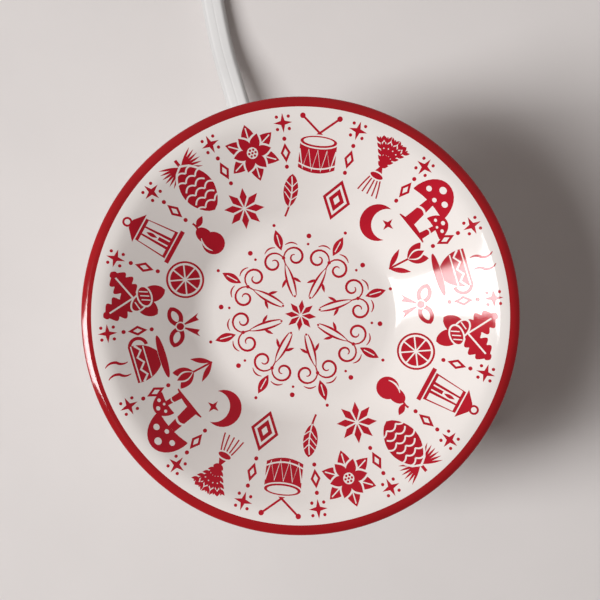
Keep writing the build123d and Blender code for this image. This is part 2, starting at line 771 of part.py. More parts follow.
def cord_gland():
    """Snap-in strain relief: two flanges about the wall, and a ribbed tail that tapers to the lead."""
    gland = along_y(gland_section(GLAND_WALL), gland_inner, gland_outer)
    wide = gland_section(GLAND_WALL + GLAND_FLANGE)
    gland += along_y(wide, gland_inner - GLAND_FLANGE_T, gland_inner)
    gland += along_y(wide, gland_outer, gland_outer + GLAND_FLANGE_T)

    def across(y, wall):
        plane = Plane(origin=(0, y, gland_z), x_dir=(1, 0, 0), z_dir=(0, 1, 0))
        return plane * gland_section(wall)

    root = gland_outer + GLAND_FLANGE_T
    gland += loft([across(root, GLAND_WALL), across(gland_tip, GLAND_TIP_WALL)])
    step = GLAND_TAIL / (GLAND_RIBS + 1)
    for i in range(GLAND_RIBS):
        y = root + step * (i + 1)
        wall = GLAND_WALL + (GLAND_TIP_WALL - GLAND_WALL) * (y - root) / GLAND_TAIL
        band = gland_section(GLAND_WALL) - gland_section(wall - GLAND_RIB_DEPTH)
        gland -= along_y(band, y - GLAND_RIB_W / 2, y + GLAND_RIB_W / 2)
    return gland - along_y(gland_section(CORD_CLEARANCE), gland_inner - GLAND_FLANGE_T, gland_tip)


def twin_section():
    core = Circle(CORD_T / 2)
    return Pos(-core_x, 0) * core + Pos(core_x, 0) * core + Rectangle(2 * core_x, CORD_WEB)


def cord_inner():
    return along_y(twin_section(), CORD_INNER_END, gland_tip)


def cord_clamp():
    bottom = gland_z + CORD_T / 2 + SADDLE_GAP / 2
    bar = Pos(0, SADDLE_Y, 0) * block(SADDLE_W, SADDLE_L, bottom, bottom + CLAMP_BAR_T)
    places = [Pos(side * SADDLE_SCREW_X, SADDLE_Y, 0) for side in (-1, 1)]
    return bar - holes(places, SMALL_SCREW_R + THREAD_CLEARANCE, bottom, bottom + CLAMP_BAR_T)


def clamp_screws():
    seat = gland_z + CORD_T / 2 + SADDLE_GAP / 2 + CLAMP_BAR_T
    body = screw(SMALL_HEAD_R, SMALL_HEAD_H, SMALL_SCREW_R, -SMALL_HEAD_H, seat - floor_top)
    flipped = Pos(0, 0, seat) * Rot(180, 0, 0) * body
    return [Pos(side * SADDLE_SCREW_X, SADDLE_Y, 0) * flipped for side in (-1, 1)]


def lead_route():
    """Down from the strain relief, back in a slight bow, then a swing to the left that centres the coil."""
    exit_point = Vector(0, gland_tip, gland_z)
    points = [exit_point, exit_point + Vector(0, LEAD_STRAIGHT, 0), *(Vector(*p) for p in LEAD_POINTS)]
    last_run = points[-1] - points[-2]
    heading = Vector(last_run.X, last_run.Y, 0).normalized()
    reach = LEAD_SWING_R * tan(radians(LEAD_SWING / 4)) + CORD_T / 8
    for run in (2 * reach, reach + CORD_T / 2):
        heading = heading.rotate(Axis.Z, LEAD_SWING / 2)
        points.append(points[-1] + heading * run)
    return points


def lead_radii(points):
    """The largest arc that its two runs leave room for, at each inner point of a route."""
    runs = [RUN_SHARE * (b - a).length for a, b in zip(points, points[1:])]
    runs[0] *= 2
    radii = []
    for i, (before, here, after) in enumerate(zip(points, points[1:], points[2:])):
        turn = radians((here - before).get_angle(after - here))
        radii.append(min(runs[i], runs[i + 1]) / tan(turn / 2))
    return radii


def swept_lead(path, roll=0.0):
    """The twin section carried along a path, starting flat or rolled a little about it."""
    heading = path % 0
    start = Plane(origin=path @ 0, x_dir=heading.cross(Vector(0, 0, 1)), z_dir=heading)
    lead = sweep(start * Rot(0, 0, roll) * twin_section(), path=path)
    expected = twin_section().area * path.length
    print(f"lead {path.length:.1f} mm long, volume {lead.volume:.1f}, section by length {expected:.1f}")
    return lead


def cord_lead():
    points = lead_route()
    radii = [*lead_radii(points[:-2]), LEAD_SWING_R, LEAD_SWING_R]
    print("lead radii", [round(r, 1) for r in radii])
    print("lead route", [tuple(round(c, 1) for c in p) for p in points])
    return swept_lead(FilletPolyline(*points, radius=radii))


def coil_frame():
    """Where the turns start, their first heading, and the direction of the middle of the coil from there."""
    before, start = lead_route()[-2:]
    heading = (start - before).normalized()
    return start + heading * CORD_W, heading, Vector(heading.Y, -heading.X, 0)


def coil_half_turns():
    """Radius and rise of each half turn: in by half a pitch at a time, up one layer, and out again on top."""
    inward = [COIL_FIRST_R - COIL_PITCH / 2 * i for i in range(COIL_HALF_TURNS_IN)]
    inmost = COIL_FIRST_R - COIL_PITCH / 2 * COIL_HALF_TURNS_IN
    outward = inward[:0:-1]
    return [*((r, 0) for r in inward), (inmost, COIL_LAYER), *((r, 0) for r in outward)]


def coil_path():
    """The turns, the part turn that undoes the swing and a straight at each end, with its end and heading."""
    place, heading, side = coil_frame()
    edges = [Line(place - heading * CORD_W, place)]
    for radius, rise in coil_half_turns():
        end = place + side * (2 * radius) + Vector(0, 0, rise)
        middle = (place + end) / 2 + heading * ((end - place).length / 2)
        edges.append(ThreePointArc(place, middle, end))
        place, heading, side = end, heading * -1, side * -1
    centre = place + side * COIL_FIRST_R
    halfway, end = (centre - (side * COIL_FIRST_R).rotate(Axis.Z, -LEAD_SWING * s) for s in (0.5, 1))
    edges.append(ThreePointArc(place, halfway, end))
    place, heading = end, heading.rotate(Axis.Z, -LEAD_SWING)
    last = place + heading * CORD_W
    edges.append(Line(place, last))
    return Wire(edges), last, heading


def coil_gap(path):
    """Least gap between turns, from points along the path that are not neighbours, with the section flat."""
    step = CORD_T / 2
    count = int(path.length / step)
    points = [path @ (i / count) for i in range(count + 1)]
    apart = int(COIL_SKIP / step)
    least = CORD_W
    for i, a in enumerate(points):
        for b in points[i + apart :]:
            across = hypot(a.X - b.X, a.Y - b.Y) - CORD_W
            above = abs(a.Z - b.Z) - CORD_T
            least = min(least, max(across, above))
    return least


def cord_coil():
    """The climb rolls the section by twice its slope, so it starts rolled by half of that the other way."""
    path, _, _ = coil_path()
    climb_r = min(radius for radius, _ in coil_half_turns())
    roll = asin(COIL_LAYER / 2 / climb_r)
    print(f"coil gap {coil_gap(path):.2f} mm, tightest half turn {climb_r:.1f} mm")
    return swept_lead(path, -degrees(roll))


def cord_tail():
    """The free end from the top of the coil, across its first turn, to the plug."""
    _, start, heading = coil_path()
    return swept_lead(Line(start, start + heading * TAIL_LENGTH))


def coil_tie():
    """A strap round the turns on the side of the coil away from the plug."""
    start, heading, side = coil_frame()
    far = COIL_FIRST_R - COIL_PITCH / 2
    near = far - COIL_PITCH * (COIL_HALF_TURNS_IN // 2)
    middle = start + side * (COIL_FIRST_R + COIL_PITCH / 2) - heading * ((far + near) / 2)
    wide = far - near + CORD_W + 2 * TIE_GAP
    top = start.Z + COIL_LAYER + CORD_T / 2 + TIE_GAP
    high = top - TIE_T
    plane = Plane(origin=(middle.X, middle.Y, TIE_T + high / 2), x_dir=heading, z_dir=side)
    outer = RectangleRounded(wide + 2 * TIE_T, high + 2 * TIE_T, TIE_CORNER + TIE_T)
    inner = RectangleRounded(wide, high, TIE_CORNER)
    return extrude(plane * (outer - inner), TIE_W / 2, both=True)


def plug_place():
    _, start, heading = coil_path()
    end = start + heading * TAIL_LENGTH
    return Plane(origin=end, x_dir=(heading.Y, -heading.X, 0), z_dir=heading).location


def plug_body():
    """Moulded two-pin plug: a neck that tapers to the lead, a rounded body and grip grooves on its sides."""
    shoulder = Pos(0, 0, PLUG_NECK) * SlotOverall(PLUG_SHOULDER_W, PLUG_SHOULDER_H)
    neck = loft([gland_section(GLAND_TIP_WALL), shoulder])
    body = Pos(0, 0, PLUG_NECK) * Box(PLUG_W, PLUG_H, PLUG_BODY, align=UP)
    body = fillet(body.edges().filter_by(Axis.Z), PLUG_EDGE)
    body = fillet(body.edges().group_by(Axis.Z)[-1], PLUG_END_EDGE)
    for i in range(PLUG_GROOVES):
        z = PLUG_NECK + PLUG_GROOVE_FIRST + PLUG_GROOVE_STEP * i
        for side in (-1, 1):
            groove = Box(2 * PLUG_GROOVE_DEPTH, PLUG_H, PLUG_GROOVE_W)
            body -= Pos(side * PLUG_W / 2, 0, z) * groove
    return plug_place() * (neck + body)


def plug_blades():
    place = plug_place()
    blades = []
    for side, width in zip((-1, 1), PLUG_BLADE_WIDTHS, strict=True):
        blade = Box(PLUG_BLADE_T, width, PLUG_BLADE_LENGTH, align=UP)
        blade = chamfer(blade.edges().group_by(Axis.Z)[-1], PLUG_BLADE_TIP)
        hole = Rot(0, 90, 0) * Cylinder(PLUG_BLADE_HOLE_R, PLUG_BLADE_T)
        blade -= Pos(0, 0, PLUG_BLADE_LENGTH - PLUG_BLADE_HOLE_FROM_TIP) * hole
        x = side * PLUG_BLADE_SPACING / 2
        blades.append(place * Pos(x, 0, PLUG_NECK + PLUG_BODY) * blade)
    return blades


PIECES = (
    wax_dish,
    body_shell,
    hot_plate,
    plate_gasket,
    seat_ring,
    heating_element,
    insulator_pad,
    clamp_plate,
    plate_studs,
    upper_standoffs,
    heat_shield,
    lower_standoffs,
    base_pan,
    base_screws,
    rubber_feet,
    thermostat,
    thermostat_tabs,
    bracket_screws,
    thermal_fuse,
    fuse_sleeve,
    fuse_clip,
    element_pins,
    pin_bushings,
    switch_body,
    switch_rocker,
    switch_terminals,
    spade_connectors,
    live_wire,
    switched_wire,
    fuse_wire,
    element_wire,
    neutral_wire,
    cord_gland,
    cord_inner,
    cord_clamp,
    clamp_screws,
    cord_lead,
    cord_coil,
    cord_tail,
    coil_tie,
    plug_body,
    plug_blades,
)

os.makedirs("parts", exist_ok=True)
for piece in PIECES:
    made = piece()
    solids = [s for part in made for s in part.solids()] if isinstance(made, list) else made.solids()
    export_step(Compound(solids) if len(solids) > 1 else solids[0], f"parts/{piece.__name__}.step")
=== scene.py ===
# %% [markdown]
# # A wax melt warmer
# A shallow glazed dish for scented wax stands on a ceramic drum with a hot plate inside. Under the
# drum is a moulded base with a rocker switch, and a flat white lead runs from it to a plug. The
# packed model has every piece at its real size and place. This lesson gives the pieces their
# finishes and remakes those that a solid modeller leaves plain: the printed, glazed dish and the
# soft lead with its tie. Lengths are in metres, and MM turns millimetres into them.

# %% Load the packed model
from bisect import bisect
from cmath import phase, rect
from itertools import pairwise
from math import ceil, copysign, cos, degrees, pi, radians, sin, tan, tau

import bpy
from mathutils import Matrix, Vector
from mathutils.geometry import delaunay_2d_cdt


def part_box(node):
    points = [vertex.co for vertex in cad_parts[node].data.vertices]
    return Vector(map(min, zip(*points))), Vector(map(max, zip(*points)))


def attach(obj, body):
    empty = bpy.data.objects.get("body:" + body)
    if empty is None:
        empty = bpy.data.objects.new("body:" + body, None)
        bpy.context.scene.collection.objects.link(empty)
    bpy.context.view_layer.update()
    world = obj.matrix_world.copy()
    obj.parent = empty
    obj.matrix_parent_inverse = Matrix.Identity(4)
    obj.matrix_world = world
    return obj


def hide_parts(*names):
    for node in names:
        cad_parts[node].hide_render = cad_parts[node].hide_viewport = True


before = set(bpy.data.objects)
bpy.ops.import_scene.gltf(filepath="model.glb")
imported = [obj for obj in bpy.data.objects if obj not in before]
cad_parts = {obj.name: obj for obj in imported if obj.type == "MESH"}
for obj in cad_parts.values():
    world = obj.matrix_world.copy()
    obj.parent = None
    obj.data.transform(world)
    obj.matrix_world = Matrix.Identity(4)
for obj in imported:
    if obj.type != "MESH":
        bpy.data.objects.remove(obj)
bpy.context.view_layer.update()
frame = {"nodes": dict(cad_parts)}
nodes = frame["nodes"]
scene = bpy.context.scene
MM = 0.001

# %% [markdown]
# ## The camera
# The picture looks straight down on the dish. A round rim seen square on is a true circle, so its
# radius in pixels gives the scale at the height of the rim. How far away the camera stood decides
# how much smaller the table below looks. The lead lies along +Y, and in the picture it leans to the
# left, so the camera is turned about the vertical.

# %% Stand the camera over the dish
PICTURE_PX = 600
RIM_RADIUS_PX = 220
RIM_CENTRE_PX = (300.6, 315.9)
CAMERA_ABOVE_RIM = 0.5
PICTURE_TURN = radians(-16.5)
SENSOR_MM = 36.0

dish_low, dish_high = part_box("wax_dish")
rim_radius = (dish_high.x - dish_low.x) / 2
pixel = rim_radius / RIM_RADIUS_PX
picture_right = Vector((cos(PICTURE_TURN), sin(PICTURE_TURN), 0))
picture_up = Vector((-sin(PICTURE_TURN), cos(PICTURE_TURN), 0))
middle_px = PICTURE_PX / 2

camera = bpy.data.objects.new("camera", bpy.data.cameras.new("camera"))
camera.location = (
    picture_right * (middle_px - RIM_CENTRE_PX[0]) * pixel
    + picture_up * (RIM_CENTRE_PX[1] - middle_px) * pixel
    + Vector((0, 0, dish_high.z + CAMERA_ABOVE_RIM))
)
camera.rotation_euler = (0, 0, PICTURE_TURN)
camera.data.sensor_width = SENSOR_MM
camera.data.lens = SENSOR_MM * CAMERA_ABOVE_RIM / (PICTURE_PX * pixel)
scene.collection.objects.link(camera)
scene.camera = camera
print(f"lens {camera.data.lens:.1f} mm, camera {camera.location.z:.3f} m above the table")

# %% [markdown]
# ## The route of the lead
# The lead leaves the strain relief level, comes down slowly to the table and runs back. Past the
# edge of the picture it swings to the left, and its spare length is wound into a flat coil of two
# layers and tied. A chain of straight tubes would look like bent wire, so the route is one smooth
# spline, and the points only steer it. The spline passes through the middles of the lines between
# its points, so the points of a turn lie a little outside it.

# %% Steer the lead from the strain relief to the plug
LEAD_W = 7.6 * MM
LEAD_T = 3.8 * MM
LEAD_FROM_GLAND = (
    (0, 70, 9.5),
    (0, 78.5, 9.5),
    (-0.1, 97.5, 4.0),
    (3.6, 129, 3.4),
    (-5.6, 146.5, 2.0),
    (-14.9, 153.2, 2.0),
)
SWING = radians(60)
FIRST_TURN_R = 52 * MM
TURN_PITCH = 8.2 * MM
HALF_TURNS_IN = 5
POINTS_PER_HALF_TURN = 8
LAYER_RISE = 4.0 * MM
TIE_LIFT = 0.8 * MM
TIE_LIFT_REACH = 24 * MM
TAIL_LENGTH = 26 * MM
PLUG_AXIS_Z = 7.6 * MM
PLUG_GRIP = 3 * MM

tie_low, tie_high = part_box("coil_tie")
tie_middle = (tie_low + tie_high) / 2


def over_tie(point):
    """A point of the coil, raised where the strap of the tie passes under it."""
    away = Vector((point.x - tie_middle.x, point.y - tie_middle.y)).length
    share = max(0, 1 - away / TIE_LIFT_REACH)
    return point + Vector((0, 0, TIE_LIFT * share * (2 - share)))


def turn(place, heading, radius, angle, rise):
    """Steering points of a clockwise turn, then where it ends and its last heading."""
    side = Vector((heading.y, -heading.x, 0))
    count = ceil(POINTS_PER_HALF_TURN * angle / pi)
    outside = radius / cos(angle / (2 * count))
    points = []
    for step in range(count):
        share = (step + 0.5) / count
        across = side * (radius - outside * cos(angle * share))
        flat = across + heading * outside * sin(angle * share)
        points.append(over_tie(place + flat + Vector((0, 0, rise * share))))
    across, along = side * radius * (1 - cos(angle)), heading * radius * sin(angle)
    end = place + across + along + Vector((0, 0, rise))
    return points, end, heading * cos(angle) + side * sin(angle)


lead_points = [Vector(p) * MM for p in LEAD_FROM_GLAND]
heading = (lead_points[-1] - lead_points[-2]).normalized()
place = lead_points[-1] + heading * LEAD_W
coil_heading = heading
inward = [FIRST_TURN_R - TURN_PITCH / 2 * i for i in range(HALF_TURNS_IN + 1)]
windings = [(radius, pi, 0) for radius in inward + inward[-2:0:-1]] + [(FIRST_TURN_R, SWING, 0)]
windings[HALF_TURNS_IN] = (inward[-1], pi, LAYER_RISE)
for winding in windings:
    points, place, heading = turn(place, heading, *winding)
    lead_points += points
plug_mouth = place + heading * (LEAD_W + TAIL_LENGTH)
plug_mouth.z = PLUG_AXIS_Z
lead_points += [place + heading * LEAD_W, plug_mouth - heading * LEAD_W]
lead_points += [plug_mouth, plug_mouth + heading * PLUG_GRIP]

route = bpy.data.curves.new("lead_route", "CURVE")
route.dimensions = "3D"
spline = route.splines.new("NURBS")
spline.points.add(len(lead_points) - 1)
for control, point in zip(spline.points, lead_points):
    control.co = (*point, 1)
spline.order_u = 3
spline.use_endpoint_u = True
spline.resolution_u = 6
route_object = bpy.data.objects.new("lead_route", route)
scene.collection.objects.link(route_object)
bpy.context.view_layer.update()
route_mesh = bpy.data.meshes.new_from_object(route_object)
lead_line = [v.co.copy() for v in route_mesh.vertices]
bpy.data.objects.remove(route_object)
lead_length = sum((b - a).length for a, b in pairwise(lead_line))
print(f"{len(lead_points)} steering points, a lead of {lead_length:.3f} m")

# %% [markdown]
# ## The body of the lead
# Two insulated cores lie side by side in one flat sheath, with a fine groove on both faces where
# they can be torn apart. A round bevel on the curve can't show that. So the section, a flat band
# with rounded sides and a groove, is drawn once and carried along the line. It stays level across
# all the way, as such a lead does on a table.

# %% Carry the twin section along the line
SHEATH_CORNER = 1.8 * MM
CORNER_POINTS = 9
GROOVE_HALF_W = 0.22 * MM
GROOVE_DEPTH = 0.08 * MM
SHARP_ANGLE = radians(40)


def twin_section():
    """The outline of the lead, across and up, with its real axis along the flat faces."""
    half = complex(LEAD_W, LEAD_T) / 2
    centre = half - SHEATH_CORNER * (1 + 1j)
    quarter = [rect(SHEATH_CORNER, pi / 2 * i / (CORNER_POINTS - 1)) for i in range(CORNER_POINTS)]
    upper = [centre + q for q in quarter] + [complex(x * GROOVE_HALF_W, half.imag) for x in (2, 1)]
    lower = [p.conjugate() for p in upper[::-1]]
    right = [complex(0, GROOVE_DEPTH - half.imag)] + lower + upper
    return right + [-p for p in right]


def mesh_piece(name, vertices, faces, body, slot):
    """A new mesh that moves with a body. Its slot argument is not used."""
    mesh = bpy.data.meshes.new(name)
    mesh.from_pydata(vertices, [], faces)
    mesh.validate()
    piece = bpy.data.objects.new(name, mesh)
    scene.collection.objects.link(piece)
    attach(piece, body)
    mesh.shade_smooth()
    mesh.set_sharp_from_angle(angle=SHARP_ANGLE)
    return piece


def tube_along(line, section, across=None):
    """Vertices and faces of a section carried along a line, level unless its side is given."""
    vertices, faces = [], []
    for i, point in enumerate(line):
        ahead = (line[min(i + 1, len(line) - 1)] - line[max(i - 1, 0)]).normalized()
        side = across or ahead.cross(Vector((0, 0, 1))).normalized()
        up = side.cross(ahead)
        vertices += [point + side * p.real + up * p.imag for p in section]
    count = len(section)
    for ring in range(len(line) - 1):
        for k in range(count):
            a, b = ring * count + k, ring * count + (k + 1) % count
            faces.append((a, a + count, b + count, b))
    faces.append(tuple(range(count)))
    faces.append(tuple(range(len(vertices) - 1, len(vertices) - count - 1, -1)))
    return vertices, faces


lead = mesh_piece("lead", *tube_along(lead_line, twin_section()), "base", "lead_vinyl")
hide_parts("cord_lead", "cord_coil", "cord_tail")
print(f"lead of {len(lead.data.polygons)} faces")

# %% [markdown]
# ## The tie
# A soft strap holds the turns together. It goes once round them and closes on top of its own start,
# one thickness higher. Its path is a chain of corners, each with the radius that rounds it, in a
# plane across the turns: the real part of a point is its place across them, and the imaginary part
# is its height. The dish uses the same chains later.

# %% Wrap the strap round the turns
TIE_W = 8 * MM
TIE_T = 0.6 * MM
TIE_EDGE = 0.15 * MM
TIE_SLACK = 0.3 * MM
TIE_BEND = 2.2 * MM
TIE_STEP = radians(10)
TIE_FLOOR_GAP = 0.06 * MM
STRAP_START = 0.4
STRAP_END = -0.5


def shares(count):
    return [i / count for i in range(count + 1)]


def rounded(corners, step):
    """Points along a chain of corners, each rounded by its radius, and the direction at each."""
    points = []
    for (before, _), (corner, radius), (after, _) in zip(corners, corners[1:], corners[2:]):
        into = (corner - before) / abs(corner - before)
        bend = phase((after - corner) / into)
        start = corner - into * radius * tan(abs(bend) / 2)
        centre = start + into * 1j * copysign(radius, bend)
        for share in shares(ceil(abs(bend) / step)):
            swing = rect(1, bend * share)
            points.append((centre + (start - centre) * swing, into * swing))
    return [(corners[0][0], points[0][1]), *points, (corners[-1][0], points[-1][1])]


def strap_line():
    """The middle of the strap, from its start on top, under the turns and over its start."""
    bundle = TURN_PITCH * (HALF_TURNS_IN // 2) + LEAD_W
    half = bundle / 2 + TIE_SLACK
    low = TIE_T / 2 + TIE_FLOOR_GAP
    high = LEAD_FROM_GLAND[-1][2] * MM + TIE_LIFT + LAYER_RISE + LEAD_T / 2 + TIE_SLACK
    over = high + TIE_T
    chain = [(STRAP_START * half, high), (-half, high), (-half, low)]
    chain += [(half, low), (half, over), (STRAP_END * half, over)]
    path = rounded([(complex(*p), TIE_BEND) for p in chain], TIE_STEP)
    middle = Vector((tie_middle.x, tie_middle.y, 0))
    return [middle + coil_heading * p.real + Vector((0, 0, p.imag)) for p, _ in path]


def strap_section():
    wide, thick = TIE_W / 2, TIE_T / 2
    corner = [complex(wide, thick - TIE_EDGE), complex(wide - TIE_EDGE, thick)]
    top = corner + [-p.conjugate() for p in corner[::-1]]
    return top + [-p for p in top]


coil_side = Vector((coil_heading.y, -coil_heading.x, 0))
tie = mesh_piece("tie", *tube_along(strap_line(), strap_section(), coil_side), "base", "tie_vinyl")
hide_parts("coil_tie")
print(f"tie of {len(tie.data.polygons)} faces")

# %% [markdown]
# ## A small language for finishes
# Every finish is worked out by shader nodes, so that it has grain and variation at its real scale
# and needs no picture files. Wiring nodes by hand is hard to read. This class wraps one output
# socket and lets Python's operators make the Math nodes, so that 1 - mask reads as it is meant. Any
# other node comes from its one method, node, and the short methods below it are the calls of it
# that come up again and again.


# %% A socket that understands arithmetic
class Shade:
    """An output socket in a material's node tree. Without a socket it stands for the tree alone."""

    def __init__(self, tree, socket=None):
        self.tree = tree
        self.socket = socket

    def node(self, kind, inputs=(), out=0, **settings):
        """Adds a node: first its settings, then the values or links of its sockets."""
        made = self.tree.nodes.new(kind)
        for name, value in settings.items():
            setattr(made, name, value)
        for key, value in dict(inputs).items():
            if isinstance(value, Shade):
                self.tree.links.new(value.socket, made.inputs[key])
            else:
                made.inputs[key].default_value = value
        return Shade(self.tree, made.outputs[out])

    def math(self, operation, *values):
        return self.node("ShaderNodeMath", enumerate(values), operation=operation)

    def __mul__(self, other):
        return self.math("MULTIPLY", self, other)

    def __sub__(self, other):
        return self.math("SUBTRACT", self, other)

    def __rsub__(self, other):
        return self.math("SUBTRACT", other, self)

    __rmul__ = __mul__

    def vector_math(self, operation, *values, out=0):
        return self.node("ShaderNodeVectorMath", enumerate(values), out, operation=operation)

    def ramp(self, low, high, start=0.0, end=1.0):
        """From start to end, smoothly, as this value goes from low to high."""
        inputs = {0: self, 1: low, 2: high, 3: start, 4: end}
        return self.node("ShaderNodeMapRange", inputs, interpolation_type="SMOOTHSTEP")

    def mix(self, low, high):
        """A colour between two, with this value as the share of the second."""
        return self.node("ShaderNodeMix", {0: self, 6: low, 7: high}, out=2, data_type="RGBA")

    def place(self):
        return self.node("ShaderNodeTexCoord", out="Object")

    def noise(self, size, detail=3.0, stretch=(1, 1, 1)):
        """Soft clouds of about that size in metres. A stretch below 1 draws them out on an axis."""
        cells = tuple(x / size for x in stretch)
        scaled = self.vector_math("MULTIPLY", self.place(), cells)
        return self.node("ShaderNodeTexNoise", {"Vector": scaled, "Scale": 1.0, "Detail": detail})

    def bump(self, strength, depth):
        """The normal of a surface that rises and falls with this value."""
        inputs = {"Strength": strength, "Distance": depth, "Height": self}
        return self.node("ShaderNodeBump", inputs)


print("methods:", [name for name in vars(Shade) if not name.startswith("_")])


# %% Materials from what varies
def finish(name, vary, **constants):
    """A Principled material. Constants go on its sockets, and vary gives what changes over it."""
    material = bpy.data.materials.new(name)
    material.use_nodes = True
    tree = material.node_tree
    tree.nodes.clear()
    shader = tree.nodes.new("ShaderNodeBsdfPrincipled")
    output = tree.nodes.new("ShaderNodeOutputMaterial")
    tree.links.new(shader.outputs[0], output.inputs[0])
    for socket, value in constants.items():
        shader.inputs[socket.replace("_", " ")].default_value = value
    for socket, value in vary(Shade(tree)).items():
        tree.links.new(value.socket, shader.inputs[socket])
    return material


def tint(colour, factor):
    """A colour made lighter or darker, with its alpha."""
    return (*(min(1.0, c * factor) for c in colour), 1.0)


print("a pale grey made darker:", tint((0.8, 0.8, 0.8), 0.5))

# %% [markdown]
# ## Glaze
# The dish and the drum are white earthenware under a thick clear glaze. The white isn't quite even:
# it is a little warmer and thinner here and there. The surface of a fired glaze waves very
# slightly, which shows only in reflections. The red of the lip and of the print lies in the same
# glaze, so it shares that surface.

# %% Mix the glazes
WHITE = (0.80, 0.755, 0.725)
PRINT_RED = (0.43, 0.009, 0.022)
LIP_RED = (0.33, 0.007, 0.011)
CLAY = (0.66, 0.57, 0.46)
GLAZE_WAVE = 9 * MM
GLAZE_CLOUD = 22 * MM
GLAZE_ROUGHNESS = (0.07, 0.11)
CLAY_GRAIN = 0.5 * MM
CLOUD_RANGE = (0.3, 0.7)


def glaze(name, colour, spread, shine):
    """A glaze whose colour drifts by a spread, over a surface that waves very slightly."""

    def vary(shade):
        drift = shade.noise(GLAZE_CLOUD).ramp(low=0.35, high=0.65)
        wave = shade.noise(GLAZE_WAVE, detail=1.0)
        return {
            "Base Color": drift.mix(tint(colour, 1 - spread), tint(colour, 1 + spread)),
            "Roughness": shade.noise(GLAZE_CLOUD / 4).ramp(*CLOUD_RANGE, *GLAZE_ROUGHNESS),
            "Normal": wave.bump(strength=0.12, depth=0.05 * MM),
        }

    return finish(name, vary, Specular_IOR_Level=shine)


def bare_clay():
    def vary(shade):
        grain = shade.noise(CLAY_GRAIN, detail=4.0)
        return {
            "Base Color": grain.ramp(*CLOUD_RANGE).mix(tint(CLAY, 0.88), tint(CLAY, 1.08)),
            "Normal": grain.bump(strength=0.4, depth=0.05 * MM),
        }

    return finish("bare_clay", vary, Roughness=0.85)


white_glaze = glaze("white_glaze", WHITE, spread=0.015, shine=0.36)
print_glaze = glaze("print_glaze", PRINT_RED, spread=0.07, shine=0.36)
lip_glaze = glaze("lip_glaze", LIP_RED, spread=0.06, shine=0.5)
clay = bare_clay()
print("glazes", [m.name for m in (white_glaze, print_glaze, lip_glaze, clay)])

# %% [markdown]
# ## The shape of the dish
# The dish is a shallow cone on a flat floor. It turns over into a near-level rim with a crowned
# lip, and stands on a foot ring. Its section is the same all round, so a profile says it all. The
# profile is a chain of corners, each with the radius that rounds it, in the same sizes as the solid
# model. A point of the profile is a complex number: the radius from the axis and, as the imaginary
# part, the height.

# %% Draw the profile
WALL = 3.6 * MM
FLOOR_T = 4 * MM
DISH_DEPTH = 17 * MM
FLOOR_R = 29.7 * MM
FLOOR_BEND = 14 * MM
RIM_W = 6.4 * MM
RIM_SLOPE = radians(4)
RIM_BEND = 10.3 * MM
LIP_W = 1.6 * MM
LIP_DROP = 0.75 * MM
LIP_CROWN = 3.3 * MM
LIP_EDGE = 0.8 * MM
LIP_UNDER = 1.4 * MM
RED_BAND = 3.1 * MM
FOOT_R = 36 * MM
FOOT_W = 5 * MM
FOOT_RECESS = 0.8 * MM
FOOT_EDGE = 0.6 * MM
BOWL_STEP = radians(0.5)

floor_middle = complex(0, dish_low.z + FOOT_RECESS + FLOOR_T)
wall_foot = floor_middle + FLOOR_R
crest = complex(rim_radius - LIP_W, floor_middle.imag + DISH_DEPTH)
wall_top = crest - (RIM_W - LIP_W) * complex(1, tan(RIM_SLOPE))
wall_slope = phase(wall_top - wall_foot)
bowl_corners = [(floor_middle, 0), (wall_foot, FLOOR_BEND), (wall_top, RIM_BEND), (crest, 0)]
bowl = rounded(bowl_corners, BOWL_STEP)
mouth_r = rim_radius - RED_BAND


def bowl_at(radius):
    """Height and slope of the inside of the bowl at a radius."""
    i = min(bisect(bowl, radius, key=lambda point: point[0].real), len(bowl) - 1)
    (low, low_way), (high, high_way) = bowl[i - 1], bowl[i]
    share = (radius - low.real) / (high.real - low.real)
    height = low.imag + (high.imag - low.imag) * share
    return height, tan(phase(low_way) * (1 - share) + phase(high_way) * share)


print(f"wall at {degrees(wall_slope):.1f} degrees, mouth of {mouth_r / MM:.1f} mm radius")

# %% [markdown]
# ## Drawing with ink
# The print is a ceramic transfer: flat red shapes under the glaze, with their white details left
# open. It could be a shader full of formulas, but then its edges would depend on the size of a map
# when the model leaves Blender. Here each shape is an outline that is cut into the surface of the
# bowl, so its edge is a real edge of the mesh. A point on paper is a complex number, because
# multiplying by one turns and scales a drawing at once. The motifs are drawn one unit high with
# their tops towards +1j. Later shapes cover earlier ones, and a bare shape cuts out white.


# %% Outlines
def spokes(count, first=0.0):
    return [first + tau * i / count for i in range(count)]


def dot(centre, radius, tall=1.0, count=22):
    return [centre + radius * complex(cos(a), tall * sin(a)) for a in spokes(count)]


def star(centre, outer, inner, points):
    radii = [outer, inner] * points
    return [centre + rect(r, pi / 2 + pi * i / points) for i, r in enumerate(radii)]


def leaf(root, tip, width, blunt=1.0, lobes=0, depth=0.0, count=12):
    """A leaf from root to tip. Blunt below 1 rounds it to a petal, and lobes notch its sides."""
    along = tip - root
    across = along / abs(along) * 1j * width / 2
    notches = [1 - depth + depth * abs(cos(pi * lobes * t)) for t in shares(count)]
    rise = [sin(pi * t) ** blunt * notch for t, notch in zip(shares(count), notches)]
    left = [root + along * t + across * r for t, r in zip(shares(count), rise)]
    right = [root + along * t - across * r for t, r in zip(shares(count), rise)]
    return left + right[-2:0:-1]


print("a six-pointed star has", len(star(0, 1.0, 0.5, 6)), "corners")


# %% Pens and layers
def bowed(start, end, bow, count=10):
    """Points on a line that bows to the left by a share of its length."""
    return [start + (end - start) * (t + 4j * bow * t * (1 - t)) for t in shares(count)]


def curl(centre, start, end, first, turn, count=26):
    """Points on a spiral whose radius goes from start to end."""
    return [centre + rect(start + (end - start) * t, first + turn * t) for t in shares(count)]


